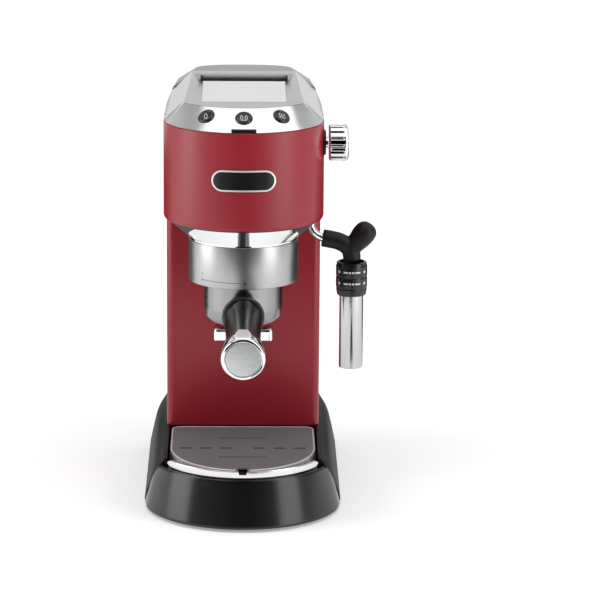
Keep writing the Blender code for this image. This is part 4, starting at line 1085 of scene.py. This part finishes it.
# %% Grip and cap
length = grip_end - grip_start
taper = [(13.9, 0.0), (14.2, 0.02), (13.7, 0.12), (12.9, 0.27), (12.2, 0.45), (12.0, 0.6),
         (12.4, 0.74), (13.3, 0.88), (14.2, 0.98), (13.9, 1.0)]
grip_profile = [(r, grip_start + length * t) for r, t in taper]
grip_profile = [(0.0, grip_start)] + grip_profile + [(0.0, grip_end)]
put("handle_grip_body", lathe_mesh(grip_profile, 2.0, collar_at, handle_axis, 128, squared, 40.0, 4),
    grip_black, "portafilter", "handle_grip")
cap_profile = [(0.0, cap_low), (14.4, cap_low), (15.4, cap_low + 0.9), (15.4, cap_high - 2.4),
               (14.5, cap_high - 0.5), (13.0, cap_high), (12.5, cap_high - 0.2),
               (12.45, cap_high - 1.2), (0.0, cap_high - 1.2)]
put("handle_cap_ring", lathe_mesh(cap_profile, 0.5, collar_at, handle_axis, 128), chrome,
    "portafilter", "handle_cap")
disc_profile = [(0.0, cap_high - 0.9), (12.2, cap_high - 0.9), (12.2, cap_high - 0.2),
                (11.9, cap_high - 0.05), (0.0, cap_high - 0.05)]
put("handle_cap_disc", lathe_mesh(disc_profile, 0.15, collar_at, handle_axis, rounds=2),
    disc_silver, "portafilter", "cap_disc")

# %% The cap's tongue
handle_up = Vector((1, 0, 0)).cross(handle_axis)
if handle_up.z < 0:
    handle_up = -handle_up
tongue_rows = []
for along, half, up in ((cap_high - 0.5, 5.6, 14.5), (cap_high - 2.2, 5.8, 15.6), (cap_low, 5.5, 15.5),
                        (cap_low - 5.0, 4.6, 15.2), (cap_low - 9.6, 3.8, 14.8),
                        (cap_low - 10.2, 3.5, 14.0)):
    centre = collar_at + handle_axis * along + handle_up * up
    wide = Vector((half, 0, 0))
    drop = handle_up * 2.6
    tongue_rows.append([centre - wide - handle_up * 0.9, centre - wide * 0.8, centre + wide * 0.8,
                        centre + wide - handle_up * 0.9, centre + wide - drop, centre - wide - drop])
put("handle_cap_tongue", carved(grid_mesh(tongue_rows), ease=0.4, segments=3),
    warmer_steel, "portafilter", slot="chrome")

# %% [markdown]
# ## The steam side
# The knob is a plated cylinder with sixteen flutes that stop short of its face, on a black plate
# ring against the body. The pipe leaves the head, bends down inside a rubber grip, and ends in a
# steel sleeve. The grip and its thumb paddle are one rubber moulding, so a remesh blends the two
# into each other.

# %% Knob
FLUTES, FLUTE_DEPTH = 16, 0.075      # the depth is a share of the radius
knob_at = (knob.left, knob.y, knob.z)
knob_len = knob.right - knob.left
knob_r = (knob.top - knob.bottom) / 2


def fluted(a, height):
    """The knob's section: round ribs between narrow flutes, which stop before the face."""
    dip = max(0.0, math.cos(a * FLUTES)) ** 3
    fade = max(0.0, min(1.0, (knob_len - 2.6 - height) / 1.4))
    return 1.0 - FLUTE_DEPTH * dip * fade


knob_profile = [(0.0, 0.0), (12.0, 0.0), (knob_r, 1.2)]
knob_profile += [(knob_r, 1.2 + (knob_len - 3.6) * k / 9) for k in range(1, 10)]
knob_profile += [(12.7, knob_len - 0.9), (11.0, knob_len - 0.05), (10.2, knob_len - 0.5),
                 (0.0, knob_len - 0.7)]
put("steam_knob_body", lathe_mesh(knob_profile, 0.35, knob_at, (1, 0, 0), 256, fluted, 50.0, 2),
    chrome, "steam_knob", "steam_knob")
spindle = Room("knob_spindle")
on_wall = side_half(knob.y)
spindle_profile = [(0.0, spindle.left), (5.0, spindle.left), (5.0, spindle.right - 2.2),
                   (3.9, spindle.right - 1.9), (3.9, spindle.right), (0.0, spindle.right)]
put("steam_knob_spindle", lathe_mesh(spindle_profile, 0, (0, knob.y, knob.z), (1, 0, 0), 64), chrome,
    "steam_knob", "knob_spindle")
escutcheon = [(9.4, on_wall - 0.2), (9.4, on_wall + 0.5), (8.4, on_wall + 1.3), (5.5, on_wall + 1.3),
              (5.5, on_wall - 0.2)]
put("steam_knob_escutcheon", lathe_mesh(escutcheon, 0.3, (0, knob.y, knob.z), (1, 0, 0)),
    panel_black, ROOT, slot="panel_black")

# %% Steam pipe and its rubber grip
wand_x, wand_y = sleeve.x, sleeve.y
wand_at = (wand_x, wand_y, 0)
route = [(swivel.x, wand_y, 214.0), (swivel.x + 0.6, wand_y, 209.0), (swivel.x + 4.6, wand_y, 204.0),
         (60.0, wand_y, 201.4), (70.0, wand_y, 199.4), (76.6, wand_y, 195.2), (wand_x, wand_y, 188.4),
         (wand_x, wand_y, 182.0)]
ball = lathe_mesh([(0.0, 219.8), (3.4, 219.2), (5.2, 217.2), (5.2, 215.2), (3.6, 212.6),
                   (0.0, 212.0)], 1.2, (swivel.x, wand_y, 0), steps=48)
put("steam_pipe_tube", joined(tube_mesh(route, 3.0), ball), chrome, "steam_wand",
    "steam_pipe")
grip_route = [(57.4, wand_y, 201.9), (64.0, wand_y, 200.7), (70.2, wand_y, 199.0),
              (76.6, wand_y, 194.6), (wand_x, wand_y, 188.6), (wand_x, wand_y, 185.6)]
grip_tube = tube_mesh(grip_route, 6.5)
paddle_profile = [(0.0, -7.0), (5.4, -6.0), (6.8, 1.0), (8.1, 7.0), (8.5, 12.2), (7.6, 16.6),
                  (4.6, 19.6), (0.0, 20.4)]
paddle = lathe_mesh(paddle_profile, 2.4, (80.4, wand_y, 196.2), (0.62, 0.0, 0.78), 64, rounds=5)
grip_mesh = carved(grip_tube, ("UNION", paddle), soften=0.55, sharp=60.0)
put("wand_grip_rubber", grip_mesh, rubber, "steam_wand", "wand_grip")

# %% Sleeve and tip
r = (sleeve.right - sleeve.left) / 2
sleeve_profile = [(7.2, sleeve.top), (r, sleeve.top - 1.4), (r, sleeve.bottom), (7.7, sleeve.bottom),
                  (7.7, sleeve.top - 4.0), (3.4, sleeve.top - 4.0), (3.4, sleeve.top)]
put("wand_sleeve_tube", lathe_mesh(sleeve_profile, 0.5, wand_at), sleeve_steel, "steam_wand",
    "wand_sleeve")
tip = Room("wand_nozzle")
nozzle_profile = [(0.0, tip.top), (2.9, tip.top), (2.9, 112.0), (4.0, 111.0), (4.0, 106.4),
                  (3.2, 104.4), (1.2, tip.bottom), (0.0, tip.bottom)]
put("wand_tip", lathe_mesh(nozzle_profile, 0.6, wand_at, steps=48), inner_black, "steam_wand",
    "wand_nozzle")
print("sleeve radius %.1f mm" % r)

# %% Selector ring
selector = Room("selector_ring")
sr = (selector.right - selector.left) / 2


RIB_LOW, RIB_HIGH, RIB_COUNT, RIB_DEPTH = 161.5, 165.0, 40, 0.012


def gripped(a, height):
    """Fine upright ribs on the selector's lower skirt only."""
    if height < RIB_LOW or height > RIB_HIGH:
        return 1.0
    return 1.0 - RIB_DEPTH * (0.5 + 0.5 * math.cos(a * RIB_COUNT))


selector_profile = [(9.8, selector.top), (10.9, selector.top - 0.3), (11.0, 182.4), (sr, 181.8),
                    (sr, 174.6), (11.05, 174.2), (11.05, 173.6), (sr, 173.2), (sr, 166.4),
                    (11.0, 165.8), (11.0, 165.2), (11.2, 164.8), (10.8, 161.8),
                    (10.4, selector.bottom), (9.1, selector.bottom), (9.1, selector.top)]
put("selector_ring_body", lathe_mesh(selector_profile, 0.35, wand_at, steps=160, flute=gripped,
                                     rounds=2), grip_black, "selector_ring", "selector_ring")
strips = []
for z in (178.2, 169.8):
    for first, last, rise in ((212, 222, 0.9), (238, 254, 0.6), (258, 266, 0.6), (270, 278, 0.6),
                              (282, 302, 0.6), (318, 328, 0.9)):
        path = arc(sr, sr, (wand_x, wand_y), first, last, 12)
        strips.append(rail_mesh(path, [(-0.06, z + rise), (-0.06, z - rise), (0.2, z - rise),
                                                (0.2, z + rise)]))
put("selector_ring_marks", joined(*strips), pale_print, "selector_ring", slot="silver")

# %% [markdown]
# ## The water tank and the back
# The tank is a smoked plastic shell, rounder at its back, with a fine groove under its rim
# and a level line. Behind it the cover, the switch and the cord gland are plain mouldings.

# %% Tank
tank = Room("water_tank")
SQUARENESS = 2.6


def tank_plan(step, count=96):
    """The tank's plan: a flat front, sides that narrow a little and a rounded back."""
    back = []
    for i in range(count + 1):
        a = math.pi * i / count
        c, s = math.cos(a), math.sin(a)
        back.append((math.copysign(abs(c) ** (2 / SQUARENESS), c) * (tank.right - 2.8 - step),
                     95.0 + abs(s) ** (2 / SQUARENESS) * (tank.back - 95.0 - step)))
    half = tank.right - step
    return [(-half, tank.front + step), (half, tank.front + step)] + back


WALL = 2.2
tank_rows = []
for z, step in ((tank.bottom, 1.4), (tank.bottom + 0.5, 0.4), (tank.bottom + 1.6, 0.0),
                (tank.top - 6.0, 0.0), (tank.top - 5.6, 0.6), (tank.top - 4.8, 0.6),
                (tank.top - 4.4, 0.0), (tank.top - 0.4, 0.0), (tank.top, 0.4),
                (tank.top, WALL - 0.3), (tank.top - 0.4, WALL), (tank.bottom + 4.0, WALL),
                (tank.bottom + 3.0, WALL + 1.0)):
    tank_rows.append([(x, y, z) for x, y in tank_plan(step)])
put("tank_shell", grid_mesh(tank_rows), smoked, "water_tank", "water_tank")
level = [p for p in tank_plan(0.0) if p[1] > 100][4:-4]
line = rail_mesh([(x * 0.999, y - 0.02) for x, y in level],
                 [(0.05, 270.4), (0.05, 269.8), (0.4, 269.8), (0.4, 270.4)])
put("tank_level_line", line, pale_print, "water_tank", slot="silver")

# %% Pieces that keep their node's shape
for name, node, look, ease, body in (
        ("rear_cover_panel", "rear_cover", panel_black, 0.5, ROOT),
        ("rear_switch_bezel", "switch_bezel", panel_black, 0.5, ROOT),
        ("rear_switch_rocker", "power_switch", grey_plastic, 0.5, "power_switch"),
        ("cord_gland", "inlet_gland", rubber, 0.4, ROOT),
        ("panel_window", "panel_insert", panel_black, 0.25, ROOT),
        # The float stem takes the float's painted shade.
        ("float_stem", "tray_float", float_painted_shade, 0.3, "tray_float"),
        ("head_floor", "head_underside", inner_black, 0.3, ROOT),
        ("wand_socket_cup", "wand_socket", panel_black, 0.3, ROOT)):
    put(name, eased_copy(node, ease), look, body, node)

# %% [markdown]
# ## Finishes for the nodes that stay
# The nodes that are already the right shape keep it, and only take a better finish: the feet,
# the bottom plate and the working parts that show when the tray, the tank or the lid is open.

# %% Carried-over nodes
kept_looks = {"foot_": rubber, "bottom_plate": inner_black, "brew_head": cast_metal,
              "group_seal": rubber, "shower_screen": ring_steel, "filter_basket": ring_steel,
              "pump_mount": rubber, "pump": grey_plastic, "thermoblock": cast_metal,
              "pressure_hose": grey_plastic, "steam_valve": brass,
              "steam_feed_tube": sleeve_steel, "control_board": board_green,
              "tank_valve": grey_plastic}
kept = 0
for name, obj in frame["nodes"].items():
    look = next((look for start, look in kept_looks.items() if name.startswith(start)), None)
    if look:
        for material_slot in obj.material_slots:
            material_slot.material = look.material
        kept += 1
print("nodes with a better finish:", kept)

# %% [markdown]
# ## Camera, floor and light
# The camera stands 2.4 m away and looks down by 13.5 degrees with a long lens. A small yaw and
# roll place the machine left of the middle and upright. Two tall soft boxes stand far out to
# the sides, so a bowed front shows two bright bands with a darker middle between them, and a
# wide soft box overhead lights the sloping panel, the warmer and the plate. The sky is brighter
# behind the machine than in front of it, and five black cards that only reflections see give the
# bright metal and the gloss black something dark to mirror.

# %% Camera
PLATE = 600                          # the side of the rendered plate
LENS = 3242.0                        # the lens, in the same unit as the plate's side
DISTANCE, ELEVATION, ROLL = 2.4, math.radians(13.5), math.radians(0.44)
YAW = math.atan(58.3 / LENS)
camera = bpy.data.cameras.new("camera")
camera.lens = LENS * camera.sensor_width / PLATE
camera.clip_end = 100
camera_stand = linked("camera", camera)
target = Vector((0, -0.021, 0.1475))
camera_stand.location = target + DISTANCE * Vector((0, -math.cos(ELEVATION), math.sin(ELEVATION)))
view = Vector((math.sin(YAW) * math.cos(ELEVATION), math.cos(YAW) * math.cos(ELEVATION),
               -math.sin(ELEVATION)))
aim = view.to_track_quat("-Z", "Y") @ Quaternion((0, 0, 1), ROLL)
camera_stand.rotation_euler = aim.to_euler()
scene.camera = camera_stand
scene.view_settings.view_transform = "Standard"
print("lens %.1f mm" % camera.lens)

# %% Floor
bpy.ops.mesh.primitive_plane_add(size=24)
floor = bpy.context.object
floor.name = "studio_floor"
# The floor glows, which is painted light: its glow is weakest near the machine and grows with
# distance, so the far floor stays near white.
pale = Look("studio_floor", Roughness=0.9, Specular_IOR_Level=0.1, Emission_Strength=1.0)
drift = pale.grain(900.0, 2.0)
away_from = pale.node("ShaderNodeVectorMath", {"operation": "LENGTH"}, {0: pale.place()}, 1)
pale.feed(Base_Color=pale.mix(drift, (0.86, 0.86, 0.86), (0.90, 0.90, 0.90)),
          Emission_Color=pale.ramp(0.25 * away_from, (0.04, 0.30), (0.25, 0.55), (0.9, 0.80)))
floor.data.materials.append(pale.material)

# %% Black cards
card_look = Look("black_card", Base_Color=(0, 0, 0, 1), Roughness=1.0, Specular_IOR_Level=0.0)


def black_card(name, left, right, *rail):
    """A black card that only shows in reflections, from side to side along (y, z) points."""
    rows_now = [[(left, y, z), (right, y, z)] for y, z in rail]
    card = linked(name, grid_mesh(rows_now, round_rows=False))
    card.data.materials.append(card_look.material)
    card.visible_camera = card.visible_diffuse = card.visible_shadow = False
    card.visible_transmission = card.visible_volume_scatter = False


black_card("tall_card", -160.0, 160.0, (-620.0, 30.0), (-620.0, 760.0))
black_card("wide_card", -400.0, 400.0, (-622.0, 100.0), (-622.0, 200.0))
black_card("low_card", 34.0, 170.0, (-620.0, 2.0), (-300.0, 2.0))
black_card("left_rear_card", -480.0, -115.0, (250.0, 2.0), (250.0, 215.0))
black_card("right_rear_card", 115.0, 480.0, (250.0, 2.0), (250.0, 215.0))

# %% Sky and soft boxes
sky = bpy.data.worlds.new("studio")
scene.world = sky
sky.use_nodes = True
air = Tree(sky.node_tree)
way = air.node("ShaderNodeTexCoord", {}, {}, "Generated")
to_back = air.node("ShaderNodeSeparateXYZ", {}, {"Vector": way}, "Y")
glow_now = air.ramp(0.5 * to_back + 0.5, (0.0, 0.12), (0.5, 0.30), (0.95, 0.76))
background = sky.node_tree.nodes["Background"]
sky.node_tree.links.new(glow_now.socket, background.inputs["Color"])


def soft_box(name, azimuth, reach, height, width, tall, glow):
    """A soft box that faces the machine; its azimuth is measured from straight in front."""
    lamp = bpy.data.lights.new(name, "AREA")
    lamp.shape, lamp.size, lamp.size_y = "RECTANGLE", width, tall
    lamp.energy = glow * math.pi * width * tall
    stand = linked(name, lamp)
    a = math.radians(azimuth)
    stand.location = (reach * math.sin(a), -reach * math.cos(a), height)
    away = stand.location - Vector((0, -0.03, 0.16))
    stand.rotation_euler = away.to_track_quat("Z", "Y").to_euler()
    stand.visible_camera = False


# name, azimuth in degrees, reach and height in metres, width, height, glow
soft_box("left_box", -78, 1.3, 0.45, 0.75, 1.5, 3.0)
soft_box("right_box", 55, 1.3, 0.45, 0.65, 1.5, 2.7)
soft_box("top_box", 15, 0.35, 1.5, 2.4, 1.6, 1.1)
print("lights:", len(bpy.data.lights))
